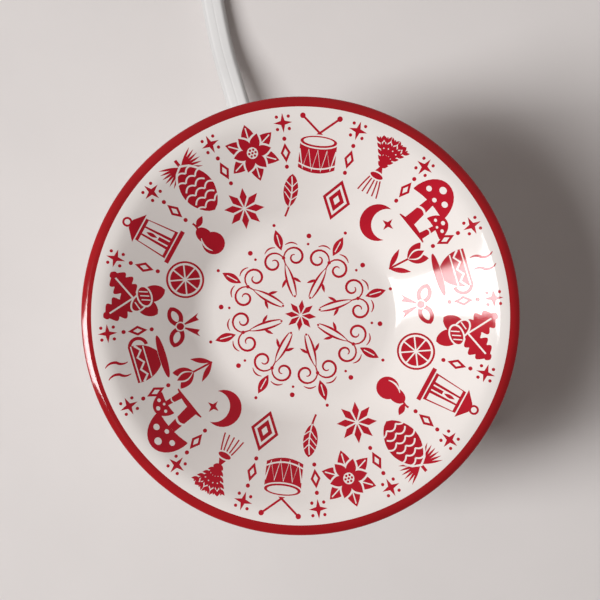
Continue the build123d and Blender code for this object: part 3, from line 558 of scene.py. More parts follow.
def pen(line, thick, thin=None):
    """A pen line along points, thick in the middle, and thin at its ends if that is given."""
    last = len(line) - 1
    left, right = [], []
    for i, point in enumerate(line):
        ahead = line[min(i + 1, last)] - line[max(i - 1, 0)]
        width = thick if thin is None else thin + (thick - thin) * sin(pi * i / last)
        across = 1j * ahead / abs(ahead) * width / 2
        left.append(point + across)
        right.append(point - across)
    return left + right[::-1]


def ink(*outlines):
    return [(outline, True) for outline in outlines]


def bare(*outlines):
    return [(outline, False) for outline in outlines]


def mirrored(layers):
    return layers + [([-p.conjugate() for p in outline], inked) for outline, inked in layers]


def moved(layers, turn, shift=0):
    """Layers that are turned and scaled by one number, and then shifted by another."""
    return [([p * turn + shift for p in outline], inked) for outline, inked in layers]


def tell(*motifs):
    """Prints how many shapes each motif has."""
    print({motif.__name__: len(motif()) for motif in motifs})


print("a pen line of two points has", len(pen([0, 1], 0.1)), "corners")

# %% [markdown]
# ## Motifs
# The large motifs are common winter things from the woods and the table, and the small ones fill
# the ring inside them. Each is a handful of shapes, and repeats come from loops.


# %% Large motifs: a flower, a cone and toadstools
def winter_rose():
    layers = ink(*(leaf(0, rect(0.5, a), 0.25) for a in spokes(6, pi / 2)))
    layers += bare(*(pen([rect(0.24, a), rect(0.44, a)], 0.022) for a in spokes(6, pi / 2)))
    layers += bare(*(leaf(0, rect(0.39, a), 0.24) for a in spokes(6)))
    layers += ink(*(leaf(0, rect(0.35, a), 0.18) for a in spokes(6)))
    beads = [rect(0.06, a) for a in spokes(6)] + [0]
    layers += bare(dot(0, 0.1)) + ink(*(dot(bead, 0.022, count=10) for bead in beads))
    return moved(layers, 0.9)


def pine_cone():
    spray = ink(*(leaf(0.32j, 0.32j + rect(0.36, radians(a)), 0.04) for a in range(-44, 29, 12)))
    layers = mirrored(spray) + ink(pen([0.24j, 0.46j], 0.05))
    layers += bare(leaf(0.36j, -0.58j, 0.62, blunt=0.62))
    layers += ink(leaf(0.32j, -0.52j, 0.54, blunt=0.62, count=20))
    for row in range(6):
        y = -0.4 + 0.12 * row
        across = 3 - row % 2
        for k in range(across):
            x = 0.19 * (k - (across - 1) / 2)
            layers += bare(pen(bowed(x - 0.095 + 1j * y, x + 0.095 + 1j * y, 0.3), 0.026))
    return layers


def toadstool(foot, size, lean):
    turn = rect(size, lean)
    cap_edge = bowed(-0.34 + 0.42j, 0.34 + 0.42j, 0.06)
    cap_top = [0.36 * cos(a) + 1j * (0.43 + 0.44 * sin(a)) for a in (pi * t for t in shares(16))]
    layers = ink([-0.1, 0.1, 0.07 + 0.46j, -0.07 + 0.46j])
    layers += bare(pen(bowed(-0.1 + 0.27j, 0.1 + 0.27j, 0.2), 0.035))
    layers += ink(cap_edge[:-1] + cap_top)
    spots = ((0, 0.74, 0.065), (-0.18, 0.6, 0.05), (0.19, 0.61, 0.055), (0.02, 0.54, 0.04))
    layers += bare(*(dot(complex(x, y), r, tall=0.85, count=14) for x, y, r in spots))
    return moved(layers, turn, foot)


def toadstools():
    layers = toadstool(-0.08 - 0.42j, 0.98, 0.06) + toadstool(0.22 - 0.42j, 0.56, -0.16)
    return layers + ink(pen(bowed(-0.27 - 0.44j, 0.33 - 0.44j, 0.05), 0.075, 0.02))


tell(winter_rose, pine_cone, toadstools)


# %% Large motifs: a lantern, an oak twig and a cup
def lantern():
    layers = ink(dot(0.42j, 0.08)) + bare(dot(0.42j, 0.045))
    layers += ink([-0.07 + 0.36j, 0.07 + 0.36j, 0.25 + 0.21j, -0.25 + 0.21j])
    layers += ink([-0.19 + 0.19j, 0.19 + 0.19j, 0.24 - 0.35j, -0.24 - 0.35j])
    for x in (-0.13, 0, 0.13):
        top, foot = x + 0.14j, x * 1.2 - 0.3j
        layers += bare([top - 0.05, top + 0.05, foot + 0.055, foot - 0.055])
    candle = [-0.03 - 0.3j, 0.03 - 0.3j, 0.03 - 0.12j, -0.03 - 0.12j]
    layers += ink(candle, leaf(-0.1j, 0.09j, 0.06))
    return layers + ink([-0.29 - 0.37j, 0.29 - 0.37j, 0.29 - 0.44j, -0.29 - 0.44j])


def oak_twig():
    tips = (-0.36 + 0.4j, 0.38 + 0.36j)
    lobed = dict(blunt=0.7, lobes=4, depth=0.42, count=49)
    layers = ink(*(leaf(-0.06j, tip, 0.4, **lobed) for tip in tips))
    layers += bare(*(pen([-0.02j, tip * 0.78], 0.028) for tip in tips))
    for lean, drop in ((-0.5, 0.02), (0.42, 0.08)):
        turn = rect(1, lean)
        acorn = ink(leaf(-0.06j, -0.46j, 0.27, blunt=0.6), pen([0, -0.14j], 0.04))
        acorn += bare(dot(-0.12j, 0.185, tall=0.66)) + ink(dot(-0.12j, 0.155, tall=0.62))
        acorn += bare(*(pen([x - 0.19j, x + 0.05 - 0.06j], 0.018) for x in (-0.09, -0.02, 0.05)))
        layers += moved(acorn, turn, -1j * drop)
    return layers


def steaming_cup():
    bowl = bowed(-0.3 + 0.08j, -0.12 - 0.34j, -0.14) + bowed(0.12 - 0.34j, 0.3 + 0.08j, -0.14)
    layers = ink(pen(curl(0.27 - 0.08j, 0.13, 0.13, -pi / 2, pi), 0.055), bowl)
    zigzag = [x + 1j * y for x, y in zip((-0.3, -0.2, -0.1, 0, 0.1, 0.2, 0.3), (-0.02, -0.1) * 4)]
    layers += bare(pen(zigzag, 0.035), pen([-0.3 + 0.035j, 0.3 + 0.035j], 0.02))
    layers += bare(pen([-0.26 - 0.15j, 0.26 - 0.15j], 0.02))
    layers += ink(dot(-0.4j, 0.36, tall=0.16))
    for x in (-0.12, 0.08):
        lower = bowed(x + 0.14j, x + 0.04 + 0.31j, 0.16)
        layers += ink(pen(lower + bowed(lower[-1], x + 0.5j, -0.16)[1:], 0.045, 0.012))
    return layers


tell(lantern, oak_twig, steaming_cup)


# %% Large motifs: a drum and a sheaf
def drum():
    layers = ink(pen([-0.3 + 0.46j, 0.14 + 0.1j], 0.035), pen([0.3 + 0.46j, -0.14 + 0.1j], 0.035))
    layers += ink(dot(-0.3 + 0.46j, 0.045, count=14), dot(0.3 + 0.46j, 0.045, count=14))
    layers += ink([-0.3 + 0.08j, *bowed(-0.3 - 0.34j, 0.3 - 0.34j, -0.12), 0.3 + 0.08j])
    tops = [complex(x, -0.05) for x in (-0.3, -0.15, 0, 0.15, 0.3)]
    feet = [complex(x, -0.32 - 0.06 * (1 - (x / 0.3) ** 2)) for x in (-0.225, -0.075, 0.075, 0.225)]
    lacing = [p for pair in zip(tops, feet) for p in pair] + tops[-1:]
    layers += bare(pen(lacing, 0.028), pen(bowed(-0.3 - 0.27j, 0.3 - 0.27j, -0.12), 0.024))
    layers += bare(dot(0.08j, 0.33, tall=0.34)) + ink(dot(0.08j, 0.3, tall=0.3))
    return layers + bare(dot(0.085j, 0.25, tall=0.26))


def wheat_sheaf():
    layers = []
    for lean in (-0.5, -0.26, 0, 0.26, 0.5):
        top = rect(0.52, pi / 2 - lean) - 0.06j
        stem = bowed(-0.34 * lean - 0.48j, top, 0.12 * lean)
        layers += ink(pen(stem, 0.024))
        for along in (5, 6, 7, 8, 9):
            up = stem[along + 1] - stem[along] if along < 9 else stem[9] - stem[8]
            grain = up / abs(up) * 0.13
            for turn in (-0.5, 0.5):
                layers += ink(leaf(stem[along], stem[along] + grain * rect(1, turn), 0.05))
    return layers + bare(dot(-0.16j, 0.14, tall=0.5)) + ink(dot(-0.16j, 0.11, tall=0.42))


large_motifs = (
    winter_rose, pine_cone, lantern, oak_twig, steaming_cup, toadstools, wheat_sheaf, drum,
)
tell(drum, wheat_sheaf)


# %% Small motifs
def woven_star():
    layers = []
    for a in spokes(8, pi / 8):
        layers += ink([rect(0.04, a), rect(0.3, a - 0.3), rect(0.5, a), rect(0.3, a + 0.3)])
    return layers


def pear():
    layers = ink(dot(-0.18j, 0.28), dot(0.1j, 0.17, tall=1.4))
    layers += ink(pen(bowed(0.3j, 0.04 + 0.5j, -0.1), 0.05))
    layers += ink(leaf(0.02 + 0.36j, 0.34 + 0.44j, 0.15))
    return layers + bare(pen(bowed(-0.16 - 0.28j, -0.1 + 0.12j, 0.16), 0.045, 0.015))


def ribbon_bow():
    half = ink(leaf(0, 0.5 + 0.2j, 0.36, blunt=0.6))
    half += bare(leaf(0.12 + 0.05j, 0.4 + 0.16j, 0.16, blunt=0.6))
    half += ink([0, 0.3 - 0.46j, 0.2 - 0.4j, 0.12 - 0.46j])
    return mirrored(half) + bare(dot(0, 0.12)) + ink(dot(0, 0.09))


def moon():
    layers = ink(dot(0, 0.45, count=30)) + bare(dot(0.2 + 0.1j, 0.38, count=30))
    return layers + ink(star(0.22 + 0.12j, 0.17, 0.06, 4))


def fruit_slice():
    layers = ink(dot(0, 0.46, count=32)) + bare(dot(0, 0.41, count=32))
    layers += ink(dot(0, 0.36, count=32))
    layers += bare(*(pen([0, rect(0.37, a)], 0.035) for a in spokes(8, pi / 8)))
    return layers + bare(dot(0, 0.05, count=12))


def tulip():
    layers = ink(pen([0.06j, -0.5j], 0.05))
    layers += ink(leaf(-0.5j, -0.32 - 0.06j, 0.13), leaf(-0.5j, 0.32 - 0.06j, 0.13))
    layers += ink(*(leaf(0, tip, 0.24, blunt=0.8) for tip in (-0.22 + 0.46j, 0.22 + 0.46j)))
    return layers + bare(leaf(0.01j, 0.49j, 0.25)) + ink(leaf(0.03j, 0.45j, 0.17))


def feather():
    quill = bowed(-0.16 - 0.5j, 0.1 + 0.44j, -0.07, count=12)
    layers = ink(leaf(quill[3], 0.13 + 0.5j, 0.36, blunt=0.6), pen(quill[:5], 0.05))
    layers += bare(pen(quill[3:], 0.03))
    for i in (5, 7, 9):
        up = (quill[i + 1] - quill[i]) / abs(quill[i + 1] - quill[i])
        for turn in (-0.8, 0.8):
            layers += bare(pen([quill[i], quill[i] + 0.26 * up * rect(1, turn)], 0.022))
    return layers


def lozenge():
    layers = ink(star(0, 0.5, 0.354, 2)) + bare(star(0, 0.38, 0.27, 2))
    return layers + ink(star(0, 0.28, 0.198, 2)) + bare(star(0, 0.12, 0.085, 2))


small_motifs = (woven_star, pear, fruit_slice, ribbon_bow, tulip, moon, lozenge, feather)
tell(*small_motifs)

# %% [markdown]
# ## The layout
# The motifs stand in two rings with their tops to the lip. Sparkles and drops fill the gaps between
# the large ones. The middle holds a round ornament of fine pen scrolls. Everything is placed by
# angle and radius.

# %% Lay out the print
LARGE_RING_R = 50.6 * MM
LARGE_SIZE = 18.4 * MM
SMALL_RING_R = 36.6 * MM
SMALL_SIZE = 12.2 * MM
SPARKLE_R = 57.4 * MM
DROP_R = 48.9 * MM
LARGE_COUNT = 16
SCROLLS = 8


def placed(layers, radius, angle, size):
    """A motif moved to its place, its top pointing away from the middle."""
    spot = rect(radius, angle)
    turn = rect(size, angle - pi / 2)
    return moved(layers, turn, spot)


def scroll_ornament():
    """A round ornament of mirrored scrolls, leaves and dots, drawn in millimetres."""
    sector = ink(pen(curl(3.4 + 17.6j, 3.7, 0.7, radians(215), -radians(500)), 0.75, 0.26))
    sector += ink(pen(bowed(0.5 + 6.2j, 0.37 + 15.5j, -0.06), 0.7, 0.25))
    sector += ink(leaf(0.9 + 12j, 3.1 + 9.6j, 0.9))
    sector += ink(pen(bowed(1.6 + 22j, 5.2 + 21j, 0.18), 0.5, 0.2))
    sector = mirrored(sector)
    sector += ink(leaf(20.6j, 27.2j, 2.7)) + bare(pen([22j, 25.6j], 0.3))
    sector += ink(dot(18.3j, 0.55, count=14), dot(28.6j, 0.5, count=14))
    beads = ink(dot(24.4j, 0.75, count=16), dot(21.9j, 0.42, count=12))
    layers = []
    for a in spokes(SCROLLS):
        layers += placed(sector, 0, a, MM)
        layers += placed(beads, 0, a + pi / SCROLLS, MM)
    layers += placed(woven_star(), 0, 0, 9.6 * MM)
    return layers + ink(*(dot(rect(6.1 * MM, a), 0.36 * MM, count=12) for a in spokes(SCROLLS)))


def drop():
    """A small pointed drop between beads, drawn in millimetres."""
    layers = ink(star(0, 2.8, 1.5, 2), *(dot(y * 1j, 0.62, count=14) for y in (-4, 4)))
    return layers + bare(star(0, 1.3, 0.7, 2))


def sparkle():
    """A four-pointed star with a bead in each gap, drawn in millimetres."""
    beads = ink(*(dot(rect(2.5, a), 0.5, count=12) for a in spokes(4, pi / 4)))
    return ink(star(0, 2.8, 0.85, 4)) + beads


def whole_print():
    layers = scroll_ornament()
    for i, angle in enumerate(spokes(LARGE_COUNT, pi / 2)):
        between = angle + pi / LARGE_COUNT
        layers += placed(large_motifs[i % len(large_motifs)](), LARGE_RING_R, angle, LARGE_SIZE)
        layers += placed(small_motifs[i % len(small_motifs)](), SMALL_RING_R, between, SMALL_SIZE)
        layers += placed(sparkle(), SPARKLE_R, between, MM)
        layers += placed(drop(), DROP_R, between, MM)
    return layers


print_layers = whole_print()
print(f"{len(print_layers)} shapes with {sum(len(o) for o, _ in print_layers)} points")

# %% [markdown]
# ## Cutting the print into the bowl
# Seen from above, the inside of the bowl is a plain disc. A constrained Delaunay triangulation
# fills that disc with triangles that respect every outline, and tells for each triangle which
# shapes cover it. Each point is then lifted to the height of the bowl. Thin triangles would catch
# the light unevenly, so the true normals of the profile are set.

# %% Cut the print into the plan of the bowl
ROUND_STEPS = 256
FEWEST_STEPS = 12
BOWL_RING_STEP = 2.2 * MM
CUT_TOLERANCE = 1e-7


def signed_area(outline):
    return sum((a.conjugate() * b).imag for a, b in zip(outline, outline[1:] + outline[:1])) / 2


def cut_bowl():
    """Plan points and triangles of the bowl's inside, rim points first, and which are inked."""
    points = [rect(mouth_r, a) for a in spokes(ROUND_STEPS)]
    rings = int(mouth_r / BOWL_RING_STEP)
    for ring in range(1, rings):
        steps = max(FEWEST_STEPS, int(ROUND_STEPS * ring / rings / 2))
        points += [rect(mouth_r * ring / rings, a) for a in spokes(steps, ring)]
    outlines, inked = [], []
    for outline, has_ink in print_layers:
        ordered = outline if signed_area(outline) > 0 else outline[::-1]
        outlines.append(range(len(points), len(points) + len(ordered)))
        inked.append(has_ink)
        points += ordered
    flat = [Vector((p.real, p.imag)) for p in points]
    rim = [(i, (i + 1) % ROUND_STEPS) for i in range(ROUND_STEPS)]
    cut = delaunay_2d_cdt(flat, rim, [list(o) for o in outlines], 0, CUT_TOLERANCE)
    colours = [bool(covers) and inked[max(covers)] for covers in cut[5]]
    return [complex(*p) for p in cut[0]], cut[2], colours


plan, plan_triangles, plan_inked = cut_bowl()
print(f"{len(plan)} points and {len(plan_triangles)} triangles, {sum(plan_inked)} of them inked")

# %% Draw the lip, the outside and the foot
PROFILE_STEP = radians(8)
LAST_RING_R = 1 * MM


def dish_profile():
    """The lip, then the outside and the foot, as points with their directions."""
    rim_way, wall_way = (complex(1, tan(slope)) for slope in (RIM_SLOPE, wall_slope))
    rim_under = wall_top - 1j * WALL / cos(RIM_SLOPE)
    edge = complex(rim_radius, crest.imag - LIP_DROP)
    edge_under = rim_under + (rim_radius - rim_under.real) * rim_way
    wall_under = wall_foot - 1j * WALL / cos(wall_slope)
    gap = rim_under - wall_under
    fall = gap.imag - gap.real * tan(wall_slope)
    knee = rim_under + fall / (tan(wall_slope) - tan(RIM_SLOPE)) * rim_way
    foot_top = wall_under + (FOOT_R - FLOOR_R) * wall_way
    halfway = (edge_under + knee) / 2
    foot = complex(FOOT_R, dish_low.z)
    recess = foot - FOOT_W + 1j * FOOT_RECESS
    mouth = complex(mouth_r, bowl_at(mouth_r)[0])
    lip = [(mouth, 0), (crest, LIP_CROWN), (edge, LIP_EDGE), (edge_under, LIP_UNDER), (halfway, 0)]
    outside = [(halfway, 0), (knee, RIM_BEND - WALL), (foot_top, 2 * FOOT_EDGE), (foot, FOOT_EDGE)]
    outside += [(foot - FOOT_W, FOOT_EDGE / 2), (recess, FOOT_EDGE / 2)]
    outside += [(complex(LAST_RING_R, recess.imag), 0)]
    return [rounded(chain, PROFILE_STEP) for chain in (lip, outside)]


lip_line, outside_line = dish_profile()
print(f"{len(lip_line)} rings on the lip, {len(outside_line)} on the outside and the foot")

# %% Make the dish
WHITE_FACE, INKED_FACE, LIP_FACE, CLAY_FACE = range(4)


def make_dish():
    vertices, normals = [], []
    for p in plan:
        height, slope = bowl_at(abs(p))
        away = p / abs(p) if abs(p) > 0 else 0
        vertices.append((p.real, p.imag, height))
        normals.append(Vector((-slope * away.real, -slope * away.imag, 1)).normalized())
    faces = [tuple(t) for t in plan_triangles]
    finishes = [INKED_FACE if has_ink else WHITE_FACE for has_ink in plan_inked]
    ring_before = list(range(ROUND_STEPS))
    for number, (p, way) in enumerate(lip_line[1:] + outside_line[1:]):
        out = way * 1j
        ring = []
        for a in spokes(ROUND_STEPS):
            ring.append(len(vertices))
            vertices.append((p.real * cos(a), p.real * sin(a), p.imag))
            normals.append(Vector((out.real * cos(a), out.real * sin(a), out.imag)))
        on_foot = p.imag < dish_low.z + FOOT_EDGE / 3
        below_lip = CLAY_FACE if on_foot else WHITE_FACE
        for k in range(ROUND_STEPS):
            after = (k + 1) % ROUND_STEPS
            faces.append((ring_before[k], ring[k], ring[after], ring_before[after]))
            finishes.append(LIP_FACE if number < len(lip_line) - 1 else below_lip)
        ring_before = ring
    faces.append(tuple(ring_before[::-1]))
    finishes.append(WHITE_FACE)
    made = mesh_piece("dish", vertices, faces, "dish", "dish_glaze")
    for material in (white_glaze, print_glaze, lip_glaze, clay):
        made.data.materials.append(material)
    made.data.polygons.foreach_set("material_index", finishes)
    made.data.normals_split_custom_set_from_vertices(normals)
    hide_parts("wax_dish")
    return made


dish = make_dish()
dish_size = [round(x / MM, 1) for x in dish.dimensions]
print(f"dish of {len(dish.data.polygons)} faces, {dish_size} mm")

# %% [markdown]
# ## The marks on the rocker
# The halves of the rocker carry the common marks: a bar for on and a ring for off. On the real one
# they are filled with white paint. A painted mark could be a mask in the material, but thin inlays
# keep their sharp edge in any picture of any size. Each half slopes away from the middle, so a mark
# is drawn flat and then laid on its slope.

# %% Lay the bar and the ring on the rocker
POD_R = 60 * MM
POD_TURN = radians(40)
HALF_SLOPE = radians(9)
ROCKER_PIVOT = rect(POD_R, POD_TURN - pi / 2)
ROCKER_HEIGHT = 11 * MM
ROCKER_TURN = POD_TURN - HALF_SLOPE
ROCKER_FRONT = 4.8 * MM
MARK_OUT = 4.4 * MM
MARK_PROUD = 0.06 * MM
MARK_R = 2.1 * MM
MARK_HOLE_R = 1.45 * MM
MARK_POINTS = 40
BAR_HALF_W = 0.42 * MM


def on_rocker(half, mark, proud):
    """A point of a mark on the left half, -1, or the right half, 1, that far above the surface."""
    along = half * MARK_OUT + mark.real
    face = rect(along, half * HALF_SLOPE) - 1j * ROCKER_FRONT - 1j * rect(proud, half * HALF_SLOPE)
    spot = ROCKER_PIVOT + face * rect(1, ROCKER_TURN)
    return Vector((spot.real, spot.imag, ROCKER_HEIGHT + mark.imag))


def inlay(name, half, outer, hole=()):
    """A thin slab inside an outline, sunk into the rocker. A hole has as many points as it."""
    count = len(outer)
    loops = [(outer, -1), (outer, 1)] + ([(hole, 1), (hole, -1)] if hole else [])
    vertices = [on_rocker(half, p, side * MARK_PROUD) for loop, side in loops for p in loop]
    faces = []
    for ring in range(len(loops) if hole else 1):
        here, there = ring * count, (ring + 1) % len(loops) * count
        for k in range(count):
            after = (k + 1) % count
            faces.append((here + k, here + after, there + after, there + k))
    if not hole:
        faces += [tuple(range(count))[::-1], tuple(range(count, 2 * count))]
    return mesh_piece(name, vertices, faces, "rocker", "switch_plastic")


bar_corner = complex(BAR_HALF_W, MARK_R)
bar = [-bar_corner, bar_corner.conjugate(), bar_corner, -bar_corner.conjugate()]
mark_on = inlay("mark_on", 1, bar)
ring_lines = [dot(0, radius, count=MARK_POINTS) for radius in (MARK_R, MARK_HOLE_R)]
mark_off = inlay("mark_off", -1, *ring_lines)
print("marks", [m.name for m in (mark_on, mark_off)])

# %% [markdown]
# ## The other finishes
# What is left are everyday materials, each with its own grain: satin mouldings, soft vinyl, rubber,
# turned and rolled metal, fired ceramic, mica and braided glass. The vinyl of the lead has painted
# shade: its colour is darker on its rounded flanks than on its flat faces. One function for each
# family takes its colour and the size of its grain, so the pieces share a look without being alike.

# %% Mouldings and vinyl
MOULD_CLOUD = 14 * MM
ROUGH_SPREAD = 0.06


def pitted(shade, roughness, grain, depth):
    """What the fine pits of a mould do to the roughness and to the normal."""
    pits = shade.noise(grain, detail=2.0)
    return {
        "Roughness": pits.ramp(*CLOUD_RANGE, roughness - ROUGH_SPREAD, roughness + ROUGH_SPREAD),
        "Normal": pits.bump(strength=0.5, depth=depth),
    }


def moulded(name, colour, **pits):
    """Moulded plastic or vinyl: an even colour with a faint drift, and a spark-eroded grain."""

    def vary(shade):
        drift = shade.noise(MOULD_CLOUD).ramp(*CLOUD_RANGE)
        colours = drift.mix(tint(colour, 0.96), tint(colour, 1.03))
        return {"Base Color": colours, **pitted(shade, **pits)}

    return finish(name, vary)


def sheath(name, colour, flank_shade, **pits):
    """Soft vinyl with painted shade: its colour is darker on its rounded flanks, by a factor, than
    on its flat faces.
    """

    def vary(shade):
        normal = shade.node("ShaderNodeNewGeometry", out="Normal")
        upright = shade.node("ShaderNodeSeparateXYZ", {0: normal}, out="Z")
        # Painted shade: the colour darkens where the normal turns away from upright, on the rounded
        # flanks.
        painted_flank_shade = 1 - (upright * upright).ramp(low=0.7, high=1.0)
        colours = painted_flank_shade.mix(tint(colour, 1.0), tint(colour, flank_shade))
        return {"Base Color": colours, **pitted(shade, **pits)}

    return finish(name, vary, Specular_IOR_Level=0.25)


LEAD_WHITE = (0.72, 0.715, 0.71)
# The lead's vinyl carries painted shade: its flanks are 0.77 times as light as its flat faces.
lead_vinyl = sheath(
    "lead_vinyl", LEAD_WHITE, flank_shade=0.77, roughness=0.58, grain=0.5 * MM, depth=0.01 * MM
)
print(f"{lead_vinyl.name} of {len(lead_vinyl.node_tree.nodes)} nodes")

# %% Metal, ceramic and mica
METAL_GRAIN = 0.6 * MM
METAL_STAIN = 9 * MM
PLATE_RING_PITCH = 0.35 * MM
PLATE_STAIN = 12 * MM
PLATE_CLOUD = 5 * MM
PLATE_ROUGHNESS = (0.28, 0.42)


def worked_metal(name, colour, roughness, stretch):
    """Metal with fine marks drawn out along the way it was worked."""

    def vary(shade):
        marks = shade.noise(METAL_GRAIN, detail=4.0, stretch=stretch)
        stain = shade.noise(METAL_STAIN).ramp(low=0.3, high=0.75)
        return {
            "Base Color": stain.mix(tint(colour, 1.05), tint(colour, 0.9)),
            "Roughness": marks.ramp(0.25, 0.75, start=roughness - 0.1, end=roughness + 0.1),
            "Normal": marks.bump(strength=0.25, depth=0.02 * MM),
        }

    return finish(name, vary, Metallic=1.0)


def turned_plate(name, colour):
    """Aluminium faced on a lathe, with fine rings about the axis."""

    def vary(shade):
        flat = shade.vector_math("MULTIPLY", shade.place(), (1, 1, 0))
        radius = shade.vector_math("LENGTH", flat, out="Value")
        rings = shade.math("SINE", radius * (tau / PLATE_RING_PITCH))
        stain = shade.noise(PLATE_STAIN).ramp(low=0.35, high=0.7)
        return {
            "Base Color": stain.mix(tint(colour, 1.04), tint(colour, 0.88)),
            "Roughness": shade.noise(PLATE_CLOUD).ramp(*CLOUD_RANGE, *PLATE_ROUGHNESS),
            "Normal": rings.bump(strength=0.2, depth=0.02 * MM),
        }

    return finish(name, vary, Metallic=1.0)


def fired(name, colour, grain, layers=(1, 1, 1)):
    """Bare ceramic, mica or braid: rough, with a visible grain."""

    def vary(shade):
        flecks = shade.noise(grain, detail=4.0, stretch=layers)
        return {
            "Base Color": flecks.ramp(*CLOUD_RANGE).mix(tint(colour, 0.82), tint(colour, 1.1)),
            "Normal": flecks.bump(strength=0.5, depth=0.05 * MM),
        }

    return finish(name, vary, Roughness=0.8)


STEEL = (0.56, 0.56, 0.57)
steel = worked_metal("steel", STEEL, roughness=0.36, stretch=(1, 1, 0.15))
print(f"{steel.name} of {len(steel.node_tree.nodes)} nodes")

# %% Give every piece its finish
SATIN_WHITE = (0.78, 0.74, 0.715)
ALUMINIUM = (0.72, 0.72, 0.73)
BRASS = (0.76, 0.58, 0.30)
NEAR_BLACK = (0.035, 0.034, 0.034)
SWITCH_WHITE = (0.74, 0.71, 0.69)
ROCKER_RED = (0.40, 0.010, 0.018)
WIRE_WHITE = (0.76, 0.74, 0.72)
SILICONE_GREY = (0.60, 0.58, 0.56)
HEATER_CREAM = (0.70, 0.66, 0.58)
MICA_BROWN = (0.60, 0.53, 0.40)
BRAID_CREAM = (0.78, 0.76, 0.70)
BLACK_WIRES = ["live_wire", "switched_wire", "fuse_wire", "element_wire"]

# Each row is a colour, a roughness, the size and the depth of the pits in millimetres, and pieces
MOULDINGS = {
    "silicone": (SILICONE_GREY, 0.5, 0.7, 0.01, ["plate_gasket", "seat_ring"]),
    "foot_rubber": (NEAR_BLACK, 0.7, 0.35, 0.03, ["rubber_feet"]),
    "phenolic": (NEAR_BLACK, 0.4, 0.5, 0.01, ["thermostat"]),
    "base_plastic": (SATIN_WHITE, 0.38, 0.28, 0.012, ["base_pan", "cord_clamp"]),
    "switch_plastic": (SWITCH_WHITE, 0.25, 0.5, 0.004, ["switch_body"]),
    "rocker_plastic": (ROCKER_RED, 0.2, 0.6, 0.003, ["switch_rocker"]),
    "wire_black": (NEAR_BLACK, 0.45, 0.4, 0.005, BLACK_WIRES),
    "wire_white": (WIRE_WHITE, 0.45, 0.4, 0.005, ["neutral_wire"]),
    "plug_vinyl": (LEAD_WHITE, 0.42, 0.4, 0.012, ["plug_body", "cord_gland"]),
    "mark_paint": (SATIN_WHITE, 0.45, 0.4, 0.002, ["mark_on", "mark_off"]),
    "tie_vinyl": (NEAR_BLACK, 0.5, 0.35, 0.02, ["tie"]),
}

families = {
    white_glaze: ["body_shell"],
    lead_vinyl: ["lead", "cord_inner"],
    steel: [
        "clamp_plate", "plate_studs", "upper_standoffs", "lower_standoffs", "base_screws",
        "bracket_screws", "fuse_clip", "element_pins", "clamp_screws",
    ],
    turned_plate("plate_metal", ALUMINIUM): ["hot_plate"],
    worked_metal("shield_metal", ALUMINIUM, roughness=0.3, stretch=(0.15, 1, 1)): [
        "heat_shield", "thermal_fuse",
    ],
    worked_metal("brass", BRASS, roughness=0.3, stretch=(1, 0.2, 1)): [
        "thermostat_tabs", "switch_terminals", "spade_connectors", "plug_blades",
    ],
    fired("heater_ceramic", HEATER_CREAM, grain=0.8 * MM): ["heating_element", "pin_bushings"],
    fired("mica", MICA_BROWN, grain=2 * MM, layers=(1, 1, 8)): ["insulator_pad"],
    fired("glass_braid", BRAID_CREAM, grain=0.4 * MM): ["fuse_sleeve"],
}
for name, (colour, roughness, grain, depth, names) in MOULDINGS.items():
    pits = dict(roughness=roughness, grain=grain * MM, depth=depth * MM)
    families[moulded(name, colour, **pits)] = names
new_pieces = {piece.name: piece for piece in (lead, tie, mark_on, mark_off)}
pieces = {**nodes, **new_pieces}
for material, names in families.items():
    for name in names:
        pieces[name].data.materials.clear()
        pieces[name].data.materials.append(material)
print(f"{len(families)} finishes on {sum(len(n) for n in families.values())} pieces")

# %% [markdown]
# ## The table and the light
# The warmer stands on a plain pale table by a window. One soft lamp to the left is that window: it
# throws the long shadow to the right and shows as the bright patch on the wall of the dish. It
# leans over the table, but less than a lamp that faces the dish squarely, and that keeps the sides
# of the patch straight. The world is the rest of the room: pale walls round the table and a dim
# ceiling, both brighter towards the top of the picture. It adds a weak light, so that the shadow
# isn't black.

# %% Set the table, the window and the world
TABLE_R = 3.0
TABLE_SIDES = 64
TABLE_CLOUD = 40 * MM
TABLE_COLOUR = (0.697, 0.663, 0.651)
WINDOW_W = 0.48
WINDOW_H = 1.36
WINDOW_AWAY = 2.05
WINDOW_RISE = radians(52.5)
WINDOW_LEAN = radians(33.0)
WINDOW_TURN = radians(190.0)
WINDOW_WATTS = 44.5
CEILING = (0.162, 0.145, 0.137)
WALLS = (0.62, 0.60, 0.59)
WALLS_END = (0.02, 0.3)
BRIGHT_SIDE = radians(100)
BRIGHT_SHARE = 0.45


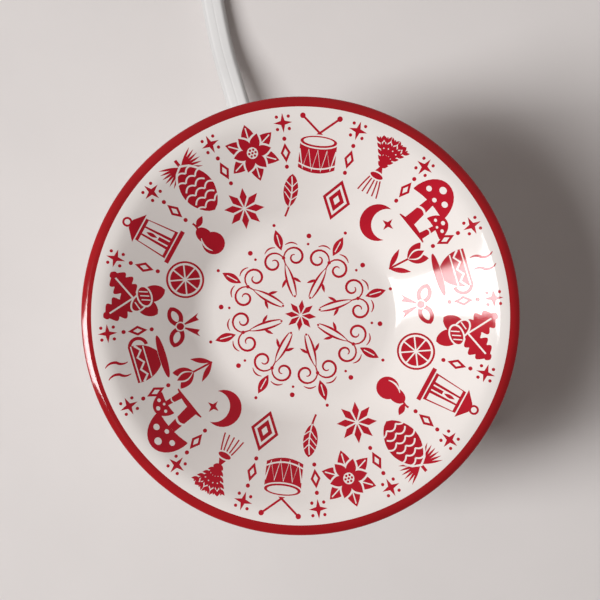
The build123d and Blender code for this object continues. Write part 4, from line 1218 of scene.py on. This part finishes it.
def make_table():
    mesh = bpy.data.meshes.new("table")
    edge = [rect(TABLE_R, a) for a in spokes(TABLE_SIDES)]
    mesh.from_pydata([(p.real, p.imag, 0) for p in edge], [], [range(TABLE_SIDES)])
    table = bpy.data.objects.new("table", mesh)
    scene.collection.objects.link(table)

    def vary(shade):
        clouds = shade.noise(TABLE_CLOUD).ramp(*CLOUD_RANGE)
        return {"Base Color": clouds.mix(tint(TABLE_COLOUR, 0.99), tint(TABLE_COLOUR, 1.01))}

    mesh.materials.append(finish("table_top", vary, Roughness=0.7, Specular_IOR_Level=0.2))


def make_window():
    lamp = bpy.data.lights.new("window", "AREA")
    lamp.shape = "RECTANGLE"
    lamp.size = WINDOW_W
    lamp.size_y = WINDOW_H
    lamp.energy = WINDOW_WATTS
    window = bpy.data.objects.new("window", lamp)
    turn = WINDOW_TURN + PICTURE_TURN
    level = Vector((cos(turn), sin(turn), 0))
    towards, back = (level * cos(a) + Vector((0, 0, sin(a))) for a in (WINDOW_RISE, WINDOW_LEAN))
    window.location = towards * WINDOW_AWAY
    window.rotation_euler = back.to_track_quat("Z", "Y").to_euler()
    scene.collection.objects.link(window)


def make_world():
    world = bpy.data.worlds.new("room")
    world.use_nodes = True
    tree = world.node_tree
    tree.nodes.clear()
    shade = Shade(tree)
    way = shade.node("ShaderNodeTexCoord", out="Generated")
    height = shade.node("ShaderNodeSeparateXYZ", {0: way}, out="Z").ramp(*WALLS_END)
    turn = BRIGHT_SIDE + PICTURE_TURN
    towards = (cos(turn), sin(turn), 0)
    side = shade.vector_math("DOT_PRODUCT", way, towards, out="Value").ramp(-1, 1)
    dim, bright = (
        height.mix(tint(WALLS, level), tint(CEILING, level))
        for level in (1 - BRIGHT_SHARE, 1 + BRIGHT_SHARE)
    )
    room = shade.node("ShaderNodeBackground", {"Color": side.mix(dim, bright)})
    output = tree.nodes.new("ShaderNodeOutputWorld")
    tree.links.new(room.socket, output.inputs[0])
    scene.world = world


make_table()
make_window()
make_world()
scene.view_settings.view_transform = "Standard"
print("lit from the left")

# %% [markdown]
# The dressed model has to fit the box of the solid model.
